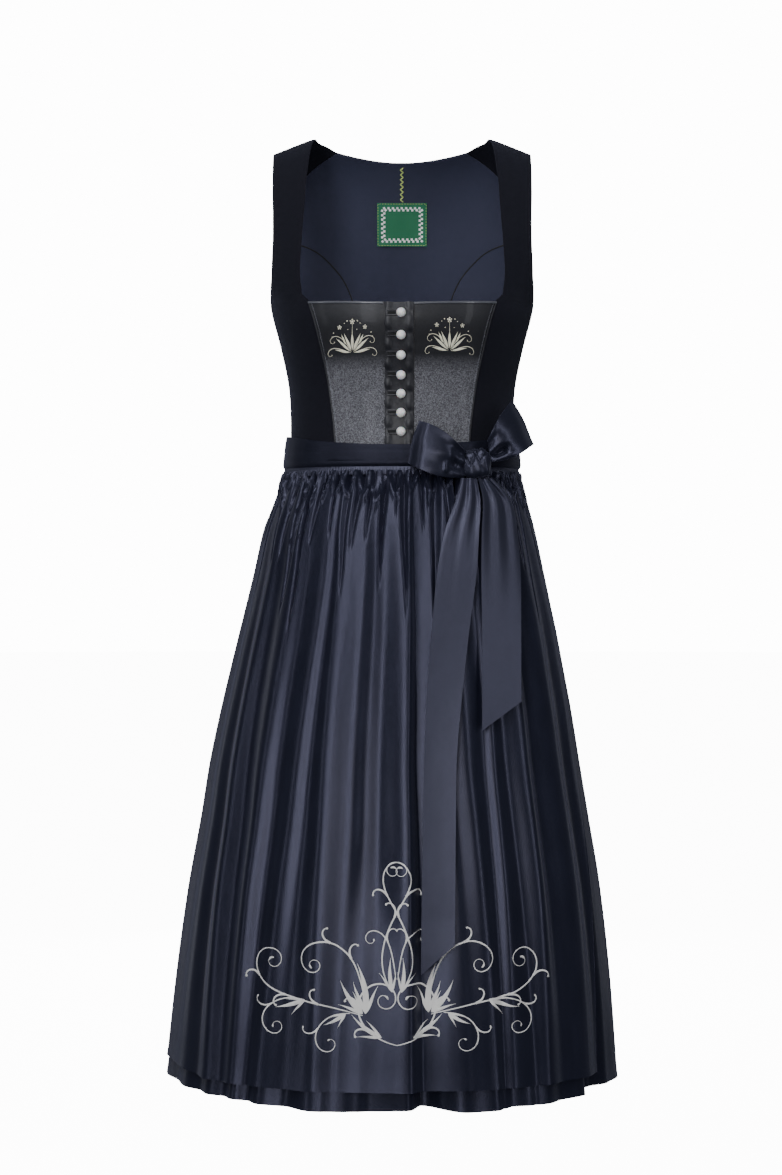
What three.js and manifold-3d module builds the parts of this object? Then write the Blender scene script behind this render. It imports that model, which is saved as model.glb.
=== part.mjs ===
// A dirndl dress, worn form with nobody in it: sleeveless bodice with a square neck and a leather bib,
// gathered underskirt, gathered apron, and the apron's sash tied in a bow on the wearer's left.
//
// Millimetres, +Z up, front towards -Y, the wearer's left towards +X. The origin is on the ridge of the
// shoulders, in the dress's middle plane. Every piece is a cloth wall laid on a surface: a surface gives
// a point for two parameters, a piece is a grid of those parameters, and the wall is that grid moved out
// along the surface's normal.

import * as THREE from "three";
import { mergeVertices } from "three/addons/utils/BufferGeometryUtils.js";
import Module from "manifold-3d";

const wasm = await Module();
wasm.setup();

// ---------------------------------------------------------------- driving dimensions

const SEAM_GAP = 0.3; // between two pieces that are sewn together
const BODICE_CLOTH = 1.5;
const LEATHER = 1.4;
const LINING_CLOTH = 1.0;
const SATIN = 1.2;
const PLACKET_LEATHER = 1.6;
const LABEL_CLOTH = 0.8;

const NECK_POINT = 104; // where the shoulder starts to fall, from the middle
const SHOULDER_FALL = 0.4; // drop of the shoulder for each mm outwards
const SHOULDER_ROUNDING = 8;
const FALL_ENDS = [-40, -150]; // levels between which the shoulder's fall fades out
const BODY_FULLNESS = 2.3; // exponent of the bodice's sections: 2 is an ellipse

const WAIST = -386;
const SASH_BOTTOM = -397;
const SASH_TOP_FRONT = -373;
const SASH_TOP_RISE = 14.5; // how much higher the sash sits at the sides and back
const SASH_EASE = 4.4; // from the bodice to the sash
const BAND_TOP = -397.4;
const BAND_BOTTOM = -406;
const BAND_EASE = 3.6;
const APRON_TOP = -405.3;
const APRON_HEM = -1097.5;
const APRON_CORNER_RISE = 8; // the apron's hem is higher at the wearer's right edge
const SKIRT_HEM = -1119.6;

const FOLD_GROWTH = 0.75; // folds deepen with this power of the way down
const APRON_EASE = 4.6; // from the underskirt to the apron, inner face to inner face

const SIDE = Infinity; // "as far as the side seam" in a panel's rows
const BIB_MEETS = 8; // the two bib halves meet this far to the wearer's right of the middle
const PLACKET = { right: 20, left: 12, lift: LEATHER + 0.4 };
const BUTTONS = { count: 7, x: -1.7, first: -222.7, pitch: 22.4, radius: 5.5, shank: 0.55 };
const BUTTONHOLE = { from: -18.4, to: -0.6, width: 1.6 };
const LABEL = { right: 30.4, left: 31.1, top: 65, bottom: 117, gap: 1 };

// ---------------------------------------------------------------- tables

function table(names, rows) {
  const keys = names.split(" ");
  return rows.map((row) => Object.fromEntries(keys.map((key, i) => [key, row[i]])));
}

// Smooth reading of a table between its rows, by one of its columns.
function readTable(rows, key, value) {
  const rising = rows.at(-1)[key] > rows[0][key];
  let i = 0;
  while (i < rows.length - 2 && (rising ? rows[i + 1][key] < value : rows[i + 1][key] > value)) i += 1;
  const [from, to] = [rows[i], rows[i + 1]];
  const before = rows[Math.max(i - 1, 0)];
  const after = rows[Math.min(i + 2, rows.length - 1)];
  const step = to[key] - from[key];
  const f = THREE.MathUtils.clamp((value - from[key]) / step, 0, 1);
  const result = {};
  for (const name of Object.keys(from)) {
    const slopeFrom = ((to[name] - before[name]) / (to[key] - before[key])) * step;
    const slopeTo = ((after[name] - from[name]) / (after[key] - from[key])) * step;
    const rest = 1 - f;
    result[name] = (1 + 2 * f) * rest * rest * from[name] + f * rest * rest * slopeFrom
      + f * f * (3 - 2 * f) * to[name] - f * f * rest * slopeTo;
  }
  return result;
}

// Half width of the bodice at each level.
const BODICE_SIDES = table("level side", [
  [0, 190], [-50, 190], [-90, 185], [-130, 178], [-160, 170], [-180, 162.5], [-190, 158.5],
  [-205, 155.5], [-215, 153.5], [-253, 143.5], [-297, 134.5], [-335, 132], [-400, 132.5],
]);

// Depth of the bodice in front of the shoulder ridge and behind it: chest, bust at -225, waist.
const BODICE_DEPTHS = table("level front back", [
  [0, 0, 0], [-3, 18, 18], [-10, 34, 35], [-24, 52, 52], [-50, 72, 68], [-85, 88, 80],
  [-125, 102, 88], [-165, 114, 92], [-200, 124, 92], [-225, 128, 90], [-260, 118, 86],
  [-300, 104, 81.5], [-335, 98, 80], [-365, 96, 80], [-400, 96, 80],
]);

// Waist and underskirt: half width, depths, sideways shift of the middle, and fullness exponent.
const SKIRT_SECTIONS = table("level side front back shift full", [
  [-357, 133, 96.2, 80, 0, 2.3],
  [-386, 133.5, 96.5, 80.5, 0, 2.3],
  [-405, 136, 99, 84, -0.5, 2.27],
  [-425, 142, 108, 92, -0.8, 2.24],
  [-470, 157, 126, 110, -2.2, 2.2],
  [-523, 169.5, 143, 128, -2, 2.15],
  [-580, 183, 158, 144, -2.5, 2.12],
  [-633, 194.5, 170, 157, -4, 2.1],
  [-683, 205, 180, 168, -5.3, 2.08],
  [-745, 216.5, 191, 181, -7, 2.05],
  [-810, 227, 201, 192, -7, 2.05],
  [-890, 241, 213, 205, -8, 2.05],
  [-1000, 255, 225, 219, -10, 2.05],
  [-1130, 267, 234, 231, -13, 2.05],
]);

// Crests and troughs of the folds across the front, in degrees from the front's middle at the waist and
// at the hem, with how far the underskirt and the apron stand out there at the hem, and how much lower
// the underskirt's hem hangs there.
const FRONT_FOLDS = table("waist hem skirt apron drop", [
  [-95, -95, 0, 0, -6],
  [-86, -80, 3, 4, -6],
  [-77, -70, -6, -4, -6],
  [-70, -61.5, 5, 6, -5],
  [-63, -55.5, -7, -5, -5],
  [-57, -50, 6, 7, -4],
  [-51, -44, -8, -6, -4],
  [-45.5, -38.5, 7, 8, -4],
  [-40, -33, -7, -5, -3],
  [-35, -26.5, 5, 7, -2],
  [-30.5, -21, -6, -4, -1],
  [-26, -15.5, 6, 8, 0],
  [-18, -8.5, 7, 9, 0],
  [-12.5, -3.5, -4, -1, 0],
  [-7, 2, 2, 6, 0],
  [-2, 6, -14, 5, 0],
  [2, 9.5, -36, -24, 0],
  [8, 14.5, -10, -8, 4],
  [14.5, 20, -6, -4, 5],
  [21, 26, 4, 8, 3],
  [27, 31, -3, 6, 1],
  [32, 34.5, 5, 22, 0],
  [37.5, 38.5, 6, 34, 0],
  [42, 43, -2, 2, 0],
  [50, 49.5, 0, 4, 0],
  [58, 57.5, -25, -2, 0],
  [66, 64.5, -18, 2, 0],
  [74, 72.5, -4, -3, 0],
  [83, 82, 3, 4, 0],
  [95, 95, 0, 0, 0],
]);

// The back's folds are as uneven as the front's, and are worked out.
const BACK_FOLD_COUNT = 22;
const SIDE_DROP = FRONT_FOLDS[0].drop;
function backFolds() {
  const folds = [];
  for (let i = 1; i < BACK_FOLD_COUNT; i += 1) {
    const angle = 95 + (170 * i) / BACK_FOLD_COUNT + 1.6 * Math.sin(i * 2.3);
    const depth = (i % 2 ? 1 : -1) * (8.5 + 2.5 * Math.sin(i * 1.7));
    const drop = SIDE_DROP * (i / BACK_FOLD_COUNT);
    folds.push({ waist: angle, hem: angle, skirt: depth, apron: depth, drop });
  }
  return folds;
}
const FOLDS = [...FRONT_FOLDS, ...backFolds()];
const LEFT_SEAM = FRONT_FOLDS.length - 1; // place of the side seams in the list of folds
const RIGHT_SEAM = FOLDS.length;

const RISE_COLUMNS = 4; // folds over which the apron's corner rises

// Where the apron's two edges lie among the folds, by level.
const APRON_EDGES = table("level right left", [
  [-405, 1.2, 27.75],
  [-600, 1.2, 27.1],
  [-800, 1.2, 26.4],
  [-1098, 1.2, 25.4],
]);

const SKIRT_LEVELS = [APRON_TOP, -425, -470, -523, -580, -640, -710, -790, -880, -985];

// Half panels of the bodice, from the hem up. A row runs from (inner, inner x) to (outer, outer x).
// "inner" and "outer" are stations: minus the level in front, and the level behind the shoulder ridge.
const LOWER_BACK_SEAM = [
  [386, 36], [350, 37], [312, 39], [275, 43], [248, 47.5], [225, 52], [206, 57],
];
const FRONT_SIDE_ROWS = table("inner innerX outer outerX", [
  [386, 77, 386, SIDE], [350, 79.5, 350, SIDE], [312, 84, 312, SIDE], [275, 90.5, 275, SIDE],
  [248, 96.5, 248, SIDE], [225, 102.5, 225, SIDE], [206, 108.5, 206, SIDE],
  [196, 117, 191, 155], [180, 119, 170, 153], [140, 118, 135, 151.5], [95, 115, 92, 151.5],
  [52, 112.5, 52, 152.5], [20, 109, 22, 153], [5, 106, 6, 153.2], [-2, 101, -4, 153.2],
  [-6, 90, -22, 152.5], [-11, 79, -55, 150],
]);
const BIB_TOP = 211; // the bib's top edge dips to this station in the middle
const BIB_ROWS = FRONT_SIDE_ROWS.slice(0, LOWER_BACK_SEAM.length).map((row) => ({
  inner: Math.max(row.inner, BIB_TOP), outer: row.inner, outerX: row.innerX,
}));
const BACK_SIDE_ROWS = table("inner innerX outer outerX", [
  ...LOWER_BACK_SEAM.map(([station, x]) => [station, x, station, SIDE]),
  [182, 62, 192, 156], [160, 72, 178, 154], [142, 86.5, 160, 152.5], [127, 103.5, 143, 151],
  [117, 124, 128, 149.8], [110, 147, 113, 148.8],
]);

// The back's middle panel: stations in its middle and at its edge. dip raises the row where the neck
// meets the shoulder, so that the last row follows the neck and then the shoulder seam.
const BACK_CENTRE_ROWS = table("middle outer outerX dip", [
  ...LOWER_BACK_SEAM.map(([station, x]) => [station, station, x, 0]),
  [178, 182, 62, 0], [154, 160, 72, 0], [132, 142, 86.5, 0], [112, 127, 103.5, 0],
  [94, 117, 124, 0], [78, 110, 147, 2], [64, 98, 148.5, 6], [50, 84, 149.3, 12],
  [36, 70, 149.8, 19], [21, 55, 150, 24.7],
]);
const NECK_CORNER = 0.431; // share of the half width where the neck meets the shoulder seam
const SHOULDER_COLUMNS = 4;
const NECK_COLUMNS = 2;

// ---------------------------------------------------------------- surfaces

const signedPower = (value, power) => Math.sign(value) * Math.abs(value) ** power;
const radians = THREE.MathUtils.degToRad;
const lerp = THREE.MathUtils.lerp;

// Bodice: angle from the middle, and station (see above).
function bodicePoint(angle, station) {
  const level = -Math.abs(station);
  const { side } = readTable(BODICE_SIDES, "level", level);
  const depths = readTable(BODICE_DEPTHS, "level", level);
  const depth = station > 0 ? -depths.front : depths.back;
  const x = side * signedPower(Math.sin(angle), 2 / BODY_FULLNESS);
  const y = depth * signedPower(Math.cos(angle), 2 / BODY_FULLNESS);
  const past = Math.abs(x) - NECK_POINT;
  const fall = (SHOULDER_FALL * (past + Math.hypot(past, SHOULDER_ROUNDING))) / 2;
  const fade = THREE.MathUtils.smoothstep(level, FALL_ENDS[1], FALL_ENDS[0]);
  return new THREE.Vector3(x, y, level - fall * fade);
}
bodicePoint.outward = -1;
bodicePoint.steps = [0.01, 0.4];

function bodiceAngle(x, station) {
  const { side } = readTable(BODICE_SIDES, "level", -Math.abs(station));
  const share = Math.min(Math.abs(x) / side, 1);
  return Math.sign(x) * Math.asin(share ** (BODY_FULLNESS / 2));
}

// One line among the folds. The list closes on itself round the skirt.
function foldLine(place) {
  const count = FOLDS.length;
  const entry = (i) => {
    const turn = Math.floor(i / count);
    const fold = FOLDS[i - turn * count];
    return { ...fold, waist: fold.waist + 360 * turn, hem: fold.hem + 360 * turn };
  };
  const index = Math.floor(place);
  const [from, to] = [entry(index), entry(index + 1)];
  const f = place - index;
  return Object.fromEntries(Object.keys(from).map((key) => [key, lerp(from[key], to[key], f)]));
}

function sectionPoint(level, angle, out) {
  const section = readTable(SKIRT_SECTIONS, "level", level);
  const power = 2 / section.full;
  const depth = Math.cos(angle) > 0 ? section.front : section.back;
  return new THREE.Vector3(
    section.shift + (section.side + out) * signedPower(Math.sin(angle), power),
    -(depth + out) * signedPower(Math.cos(angle), power),
    level,
  );
}

function foldedPoint(layer, ease) {
  const surface = (place, level) => {
    const line = foldLine(place);
    const down = THREE.MathUtils.clamp((WAIST - level) / (WAIST - SKIRT_HEM), 0, 1);
    const angle = radians(lerp(line.waist, line.hem, down));
    return sectionPoint(level, angle, ease + line[layer] * down ** FOLD_GROWTH);
  };
  surface.outward = 1;
  surface.steps = [0.05, 0.5];
  return surface;
}
const skirtPoint = foldedPoint("skirt", 0);
const apronPoint = foldedPoint("apron", APRON_EASE);

const waistPoint = (angle, level) => sectionPoint(level, angle, 0);
waistPoint.outward = 1;
waistPoint.steps = [0.01, 0.5];

function normalOf(surface, u, v) {
  const [stepU, stepV] = surface.steps;
  const alongU = surface(u + stepU, v).sub(surface(u - stepU, v));
  const alongV = surface(u, v + stepV).sub(surface(u, v - stepV));
  return alongU.cross(alongV).normalize().multiplyScalar(surface.outward);
}

// ---------------------------------------------------------------- walls

// Closed wall on a surface. place(i, j) gives the surface's two parameters at a grid point. The inner
// face is lift outside the surface. A wall drawn back by half a seam gap all round leaves the seam open.
function wall({ surface, place, columns, rows, lift = 0, thickness, ring = false }) {
  const width = ring ? columns : columns + 1;
  const points = [];
  const normals = [];
  for (let j = 0; j <= rows; j += 1) {
    for (let i = 0; i < width; i += 1) {
      const [u, v] = place(i, j);
      points.push(surface(u, v));
      normals.push(normalOf(surface, u, v));
    }
  }
  drawBack(points, width, rows + 1, ring);
  const inner = points.map((point, k) => point.clone().addScaledVector(normals[k], lift));
  const outer = points.map((point, k) => point.clone().addScaledVector(normals[k], lift + thickness));
  return closedGrid(inner, outer, width, rows + 1, ring);
}

function drawBack(points, width, height, ring) {
  const pull = (edge, next) => {
    const step = points[next].clone().sub(points[edge]);
    points[edge].addScaledVector(step.normalize(), SEAM_GAP / 2);
  };
  for (let i = 0; i < width; i += 1) {
    pull(i, i + width);
    pull(i + (height - 1) * width, i + (height - 2) * width);
  }
  if (ring) return;
  for (let j = 0; j < height; j += 1) {
    pull(j * width, j * width + 1);
    pull(j * width + width - 1, j * width + width - 2);
  }
}

// Joins two grids of points into one closed body and turns its faces outwards.
function closedGrid(inner, outer, width, height, ring) {
  const offset = inner.length;
  const index = [];
  const quad = (a, b, c, d) => index.push(a, b, c, a, c, d);
  const cells = ring ? width : width - 1;
  for (let j = 0; j < height - 1; j += 1) {
    for (let i = 0; i < cells; i += 1) {
      const next = (i + 1) % width;
      const corners = [j * width + i, j * width + next, (j + 1) * width + next, (j + 1) * width + i];
      const [a, b, c, d] = corners;
      quad(...corners.map((k) => k + offset));
      quad(a, d, c, b);
    }
  }
  const strip = (a, b) => quad(a, b, b + offset, a + offset);
  for (let i = 0; i < cells; i += 1) {
    const next = (i + 1) % width;
    strip(i, next);
    strip((height - 1) * width + next, (height - 1) * width + i);
  }
  for (let j = 0; j < height - 1 && !ring; j += 1) {
    strip((j + 1) * width, j * width);
    strip(j * width + width - 1, (j + 1) * width + width - 1);
  }
  const geometry = new THREE.BufferGeometry().setFromPoints([...inner, ...outer]);
  if (volumeOf(geometry.attributes.position, index) < 0) index.reverse();
  geometry.setIndex(index);
  geometry.computeVertexNormals();
  return geometry;
}

function volumeOf(positions, index) {
  const corner = (k) => new THREE.Vector3().fromBufferAttribute(positions, index[k]);
  let sum = 0;
  for (let k = 0; k < index.length; k += 3) sum += corner(k).dot(corner(k + 1).cross(corner(k + 2)));
  return sum;
}

// ---------------------------------------------------------------- bodice

// hand is +1 for the wearer's left and -1 for the right.
function halfPanel(rows, columns, hand) {
  return (i, j) => {
    const row = rows[j];
    const across = i / columns;
    const angle = lerp(bodiceAngle(row.innerX, row.inner), bodiceAngle(row.outerX, row.outer), across);
    return [hand * angle, lerp(row.inner, row.outer, across)];
  };
}

function frontSide(hand) {
  const place = halfPanel(FRONT_SIDE_ROWS, SHOULDER_COLUMNS, hand);
  const rows = FRONT_SIDE_ROWS.length - 1;
  return wall({
    surface: bodicePoint, place, columns: SHOULDER_COLUMNS, rows, thickness: BODICE_CLOTH,
  });
}

function bib(hand) {
  const rows = BIB_ROWS.map((row) => ({ ...row, innerX: -hand * BIB_MEETS }));
  const place = halfPanel(rows, 5, hand);
  return wall({ surface: bodicePoint, place, columns: 5, rows: rows.length - 1, thickness: LEATHER });
}

// Back panels have negative stations. The lining uses the same rows, inside.
const behind = (rows) => rows.map((row) => ({ ...row, inner: -row.inner, outer: -row.outer }));

function backSide(hand, lift, thickness) {
  const place = halfPanel(behind(BACK_SIDE_ROWS), 5, hand);
  const rows = BACK_SIDE_ROWS.length - 1;
  return wall({ surface: bodicePoint, place, columns: 5, rows, lift, thickness });
}

function backCentre(lift, thickness) {
  const neck = Array.from({ length: NECK_COLUMNS }, (_, i) => (NECK_CORNER * i) / NECK_COLUMNS);
  const shoulder = Array.from(
    { length: SHOULDER_COLUMNS + 1 },
    (_, i) => lerp(NECK_CORNER, 1, i / SHOULDER_COLUMNS),
  );
  const half = [...neck, ...shoulder];
  const across = [...half.slice(1).map((share) => -share).reverse(), ...half];
  const place = (i, j) => {
    const row = BACK_CENTRE_ROWS[j];
    const share = Math.abs(across[i]);
    const rise = share < NECK_CORNER
      ? (share / NECK_CORNER) ** 1.2
      : (1 - share) / (1 - NECK_CORNER);
    const station = lerp(row.middle, row.outer, share) - row.dip * rise;
    return [across[i] * bodiceAngle(row.outerX, row.outer), -station];
  };
  const rows = BACK_CENTRE_ROWS.length - 1;
  return wall({ surface: bodicePoint, place, columns: across.length - 1, rows, lift, thickness });
}

const LINING_LIFT = -2 * SEAM_GAP - LINING_CLOTH;

function label() {
  const columns = 4;
  const place = (i, j) => {
    const station = -lerp(LABEL.bottom, LABEL.top, j / 3);
    return [lerp(bodiceAngle(-LABEL.right, station), bodiceAngle(LABEL.left, station), i / columns), station];
  };
  const lift = LINING_LIFT - LABEL.gap - LABEL_CLOTH;
  return wall({ surface: bodicePoint, place, columns, rows: 3, lift, thickness: LABEL_CLOTH });
}

// ---------------------------------------------------------------- placket and buttons

const buttonLevel = (i) => BUTTONS.first - i * BUTTONS.pitch;

function toManifold(geometry) {
  const bare = new THREE.BufferGeometry();
  bare.setAttribute("position", geometry.attributes.position.clone());
  bare.setIndex(geometry.index.clone());
  const merged = mergeVertices(bare, 1e-4);
  const vertProperties = Float32Array.from(merged.attributes.position.array);
  const triVerts = Uint32Array.from(merged.index.array);
  return new wasm.Manifold(new wasm.Mesh({ numProp: 3, vertProperties, triVerts }));
}

function fromManifold(solid) {
  const mesh = solid.getMesh();
  const geometry = new THREE.BufferGeometry();
  geometry.setAttribute("position", new THREE.BufferAttribute(mesh.vertProperties, 3));
  geometry.setIndex([...mesh.triVerts]);
  geometry.computeVertexNormals();
  return geometry;
}

// A place on the bib's facets, and the turn that stands +Y on them.
function onBib(x, level) {
  const stations = BIB_ROWS.map((row) => row.inner);
  const above = Math.max(stations.findIndex((station) => station < -level), 1);
  const [low, high] = [stations[above - 1], stations[above]];
  const bottom = bodicePoint(bodiceAngle(x, low), low);
  const top = bodicePoint(bodiceAngle(x, high), high);
  const normal = new THREE.Vector3(1, 0, 0).cross(top.clone().sub(bottom)).normalize();
  return {
    point: bottom.lerp(top, (level - bottom.z) / (top.z - bottom.z)),
    turn: new THREE.Quaternion().setFromUnitVectors(new THREE.Vector3(0, 1, 0), normal),
  };
}

function placket() {
  const columns = 3;
  const place = (i, j) => {
    const station = BIB_ROWS[j].inner;
    const right = bodiceAngle(-PLACKET.right, station);
    return [lerp(right, bodiceAngle(PLACKET.left, station), i / columns), station];
  };
  const strip = wall({
    surface: bodicePoint, place, columns, rows: BIB_ROWS.length - 1, lift: PLACKET.lift,
    thickness: PLACKET_LEATHER,
  });
  let solid = toManifold(strip);
  for (let i = 0; i < BUTTONS.count; i += 1) {
    const slit = new THREE.BoxGeometry(BUTTONHOLE.to - BUTTONHOLE.from, 14, BUTTONHOLE.width);
    const { point, turn } = onBib((BUTTONHOLE.from + BUTTONHOLE.to) / 2, buttonLevel(i));
    slit.applyQuaternion(turn).translate(...point);
    solid = solid.subtract(toManifold(slit));
  }
  return fromManifold(solid);
}

// A pearl ball on a shank that goes through its buttonhole.
function button() {
  const ballLow = PLACKET.lift + PLACKET_LEATHER + SEAM_GAP;
  const shankLow = LEATHER + SEAM_GAP;
  const profile = [new THREE.Vector2(0, shankLow), new THREE.Vector2(BUTTONS.shank, shankLow)];
  for (const degrees of [-84, -52, -18, 18, 52, 90]) {
    const radius = degrees === 90 ? 0 : BUTTONS.radius * Math.cos(radians(degrees));
    const height = ballLow + BUTTONS.radius * (1 + Math.sin(radians(degrees)));
    profile.push(new THREE.Vector2(radius, height));
  }
  return new THREE.LatheGeometry(profile, 8);
}

// ---------------------------------------------------------------- waist, skirt and apron

const hemLevel = (place) => SKIRT_HEM - foldLine(place).drop;

function skirt(from, to) {
  const levels = [WAIST, ...SKIRT_LEVELS, SKIRT_HEM];
  const rows = levels.length - 1;
  const place = (i, j) => [from + i, j === rows ? hemLevel(from + i) : levels[j]];
  return wall({ surface: skirtPoint, place, columns: to - from, rows, thickness: SATIN });
}

function apron() {
  const levels = [...SKIRT_LEVELS, APRON_HEM];
  const fixed = 24; // the columns up to this fold follow it, and the last ones spread to the edge
  const spread = 4;
  const columns = fixed - 1 + spread;
  const rows = levels.length - 1;
  const place = (i, j) => {
    const edges = readTable(APRON_EDGES, "level", levels[j]);
    const rise = j === rows ? APRON_CORNER_RISE * Math.max(1 - i / RISE_COLUMNS, 0) : 0;
    const level = levels[j] + rise;
    if (i === 0) return [edges.right, level];
    if (i < fixed) return [i + 1, level];
    return [lerp(fixed, edges.left, (i - fixed + 1) / spread), level];
  };
  return wall({ surface: apronPoint, place, columns, rows, thickness: SATIN });
}

function sash() {
  const columns = 32;
  const place = (i, j) => {
    const angle = (2 * Math.PI * i) / columns;
    const forward = Math.max(Math.cos(angle), 0);
    const top = SASH_TOP_FRONT + SASH_TOP_RISE * (1 - forward * forward);
    return [angle, lerp(SASH_BOTTOM, top, j / 2)];
  };
  return wall({
    surface: waistPoint, place, columns, rows: 2, lift: SASH_EASE, thickness: SATIN, ring: true,
  });
}

function apronWaistband() {
  const columns = 24;
  const place = (i, j) => [radians(lerp(-84, 80, i / columns)), j ? BAND_TOP : BAND_BOTTOM];
  return wall({ surface: waistPoint, place, columns, rows: 1, lift: BAND_EASE, thickness: 1.8 });
}

// ---------------------------------------------------------------- bow

const KNOT = { centre: [87, -103, -395], radii: [14.6, 11.5, 17] };

// A loop leaves the knot in front, turns round at its outer end and comes back behind.
// Each end of the loop has its middle, its half height and how far that leans sideways.
const LOOPS = {
  right: { // towards the dress's middle
    knot: { x: 72, y: -105, z: -396, half: 15, lean: 1 },
    outer: { x: 12, y: -122, z: -370, half: 24.5, lean: 7 },
    bulge: 6, depth: 9,
  },
  left: {
    knot: { x: 100.9, y: -101.5, z: -388, half: 14, lean: -2 },
    outer: { x: 143, y: -76, z: -345.5, half: 25, lean: -9 },
    bulge: 5, depth: 11,
  },
};

function loopPoint(shape) {
  const { knot, outer, bulge, depth } = shape;
  const surface = (turn, across) => {
    const out = (1 - Math.cos(2 * Math.PI * turn)) / 2;
    const open = depth * Math.sin(2 * Math.PI * turn) * Math.sqrt(out) + 2.4 * (1 - 2 * turn);
    const half = lerp(knot.half, outer.half, out) + bulge * Math.sin(Math.PI * out);
    const lean = lerp(knot.lean, outer.lean, out);
    return new THREE.Vector3(
      lerp(knot.x, outer.x, out) + lean * across,
      lerp(knot.y, outer.y, out) - open,
      lerp(knot.z, outer.z, out) + half * across,
    );
  };
  surface.outward = 1;
  surface.steps = [0.01, 0.02];
  return surface;
}

function bowLoop(shape) {
  const [columns, rows] = [14, 4];
  const place = (i, j) => [i / columns, lerp(-1, 1, j / rows)];
  return wall({ surface: loopPoint(shape), place, columns, rows, lift: -SATIN / 2, thickness: SATIN });
}

function knot() {
  const geometry = new THREE.SphereGeometry(1, 12, 8);
  return geometry.scale(...KNOT.radii);
}

// The tails hang in front of the apron's crests. Each row has the ribbon's two edges at a level, and how
// far forward of that it still is on its way down from the knot.
const TAILS = {
  tail_long: table("level right left forward", [
    [-412.2, 68, 86, 5.5], [-437.6, 61.6, 90, 2], [-476, 48, 88, 0], [-524, 39.1, 84.5, 0],
    [-583, 33.2, 76.2, 0], [-653, 27.3, 67.8, 0], [-731, 23.8, 60.7, 0], [-800, 22.5, 59.4, 0],
    [-870, 21.2, 58.5, 0], [-952, 20.1, 57.8, 0],
  ]),
  tail_short: table("level right left forward", [
    [-412.2, 87.5, 104, 5.5], [-437.6, 92.5, 126, 2.5], [-476, 91, 133, 0], [-524, 90, 136, 0],
    [-583, 90.2, 135.6, 0], [-640, 89.8, 135, 0], [-684, 89.5, 134.7, 0],
  ]),
};
const TAIL_SLANT = 16; // half of what the diagonal cut takes off the shorter edge
const TAIL_EASE = 3; // from the apron's crests to the ribbon

// How far the apron's crests stand out, between two values of x, at a level.
function crestOut(level, fromX, toX) {
  let out = 0;
  for (let place = 1; place < LEFT_SEAM; place += 0.5) {
    const point = apronPoint(place, level);
    if (point.x < fromX - 12 || point.x > toX + 12) continue;
    const down = THREE.MathUtils.clamp((WAIST - level) / (WAIST - SKIRT_HEM), 0, 1);
    out = Math.max(out, foldLine(place).apron * down ** FOLD_GROWTH);
  }
  return out + APRON_EASE + SATIN + TAIL_EASE;
}

function tail(name) {
  const edges = TAILS[name];
  const [columns, rows] = [3, edges.length - 1];
  const surface = (across, level) => {
    const row = readTable(edges, "level", level);
    const x = lerp(row.right, row.left, across);
    const section = readTable(SKIRT_SECTIONS, "level", level);
    const out = crestOut(level, row.right, row.left) + row.forward;
    const share = Math.min((x - section.shift) / (section.side + out), 1);
    return sectionPoint(level, Math.asin(share ** (section.full / 2)), out);
  };
  surface.outward = 1;
  surface.steps = [0.05, 4];
  const place = (i, j) => {
    const across = i / columns;
    const slant = j === rows ? TAIL_SLANT * (2 * across - 1) : 0;
    return [across, edges[j].level + slant];
  };
  return wall({ surface, place, columns, rows, thickness: SATIN });
}

// ---------------------------------------------------------------- materials

const FINISH = {
  bodice: { color: 0x14161f, roughness: 0.85 },
  leather: { color: 0x26272e, roughness: 0.45 },
  lining: { color: 0x20243a, roughness: 0.7 },
  satin: { color: 0x1d2030, roughness: 0.35 },
  pearl: { color: 0xefe9da, roughness: 0.25 },
  label: { color: 0x2b7a4b, roughness: 0.8 },
};

// ---------------------------------------------------------------- the dress

const dress = new THREE.Group();

function add(name, finish, geometry) {
  const mesh = new THREE.Mesh(geometry, new THREE.MeshStandardMaterial({ ...FINISH[finish], metalness: 0 }));
  mesh.name = name;
  dress.add(mesh);
  return mesh;
}

function addBodice() {
  add("back_centre", "bodice", backCentre(0, BODICE_CLOTH));
  add("lining_centre", "lining", backCentre(LINING_LIFT, LINING_CLOTH));
  for (const [side, hand] of [["right", -1], ["left", 1]]) {
    add(`front_side_${side}`, "bodice", frontSide(hand));
    add(`bib_${side}`, "leather", bib(hand));
    add(`back_side_${side}`, "bodice", backSide(hand, 0, BODICE_CLOTH));
    add(`lining_side_${side}`, "lining", backSide(hand, LINING_LIFT, LINING_CLOTH));
  }
  add("label", "label", label());
}

function addButtons() {
  add("button_placket", "leather", placket());
  for (let i = 0; i < BUTTONS.count; i += 1) {
    const { point, turn } = onBib(BUTTONS.x, buttonLevel(i));
    const mesh = add(`button_${i + 1}`, "pearl", button());
    mesh.position.copy(point);
    mesh.quaternion.copy(turn);
  }
}

function addSkirt() {
  add("skirt_front", "satin", skirt(0, LEFT_SEAM));
  add("skirt_back", "satin", skirt(LEFT_SEAM, RIGHT_SEAM));
  add("apron", "satin", apron());
  add("apron_waistband", "satin", apronWaistband());
  add("sash", "satin", sash());
}

function addBow() {
  add("bow_knot", "satin", knot()).position.set(...KNOT.centre);
  add("bow_loop_right", "satin", bowLoop(LOOPS.right));
  add("bow_loop_left", "satin", bowLoop(LOOPS.left));
  add("tail_long", "satin", tail("tail_long"));
  add("tail_short", "satin", tail("tail_short"));
}

addBodice();
addButtons();
addSkirt();
addBow();

export default dress;
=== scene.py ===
# %% [markdown]
# # A dirndl dress, built in Blender
#
# The dress hangs as it is worn, with nobody in it: a dark bodice with a leather bib and pearl
# buttons, a gathered underskirt, and a satin apron whose sash is tied in a bow. The fixed frame
# comes first. It holds the plain solid of every piece, in metres, and each finished piece goes
# where its solid is. Cloth is worked out from a few tables of sizes, because a garment is cut
# from such tables too.

# %% Load the frame
import math

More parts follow.
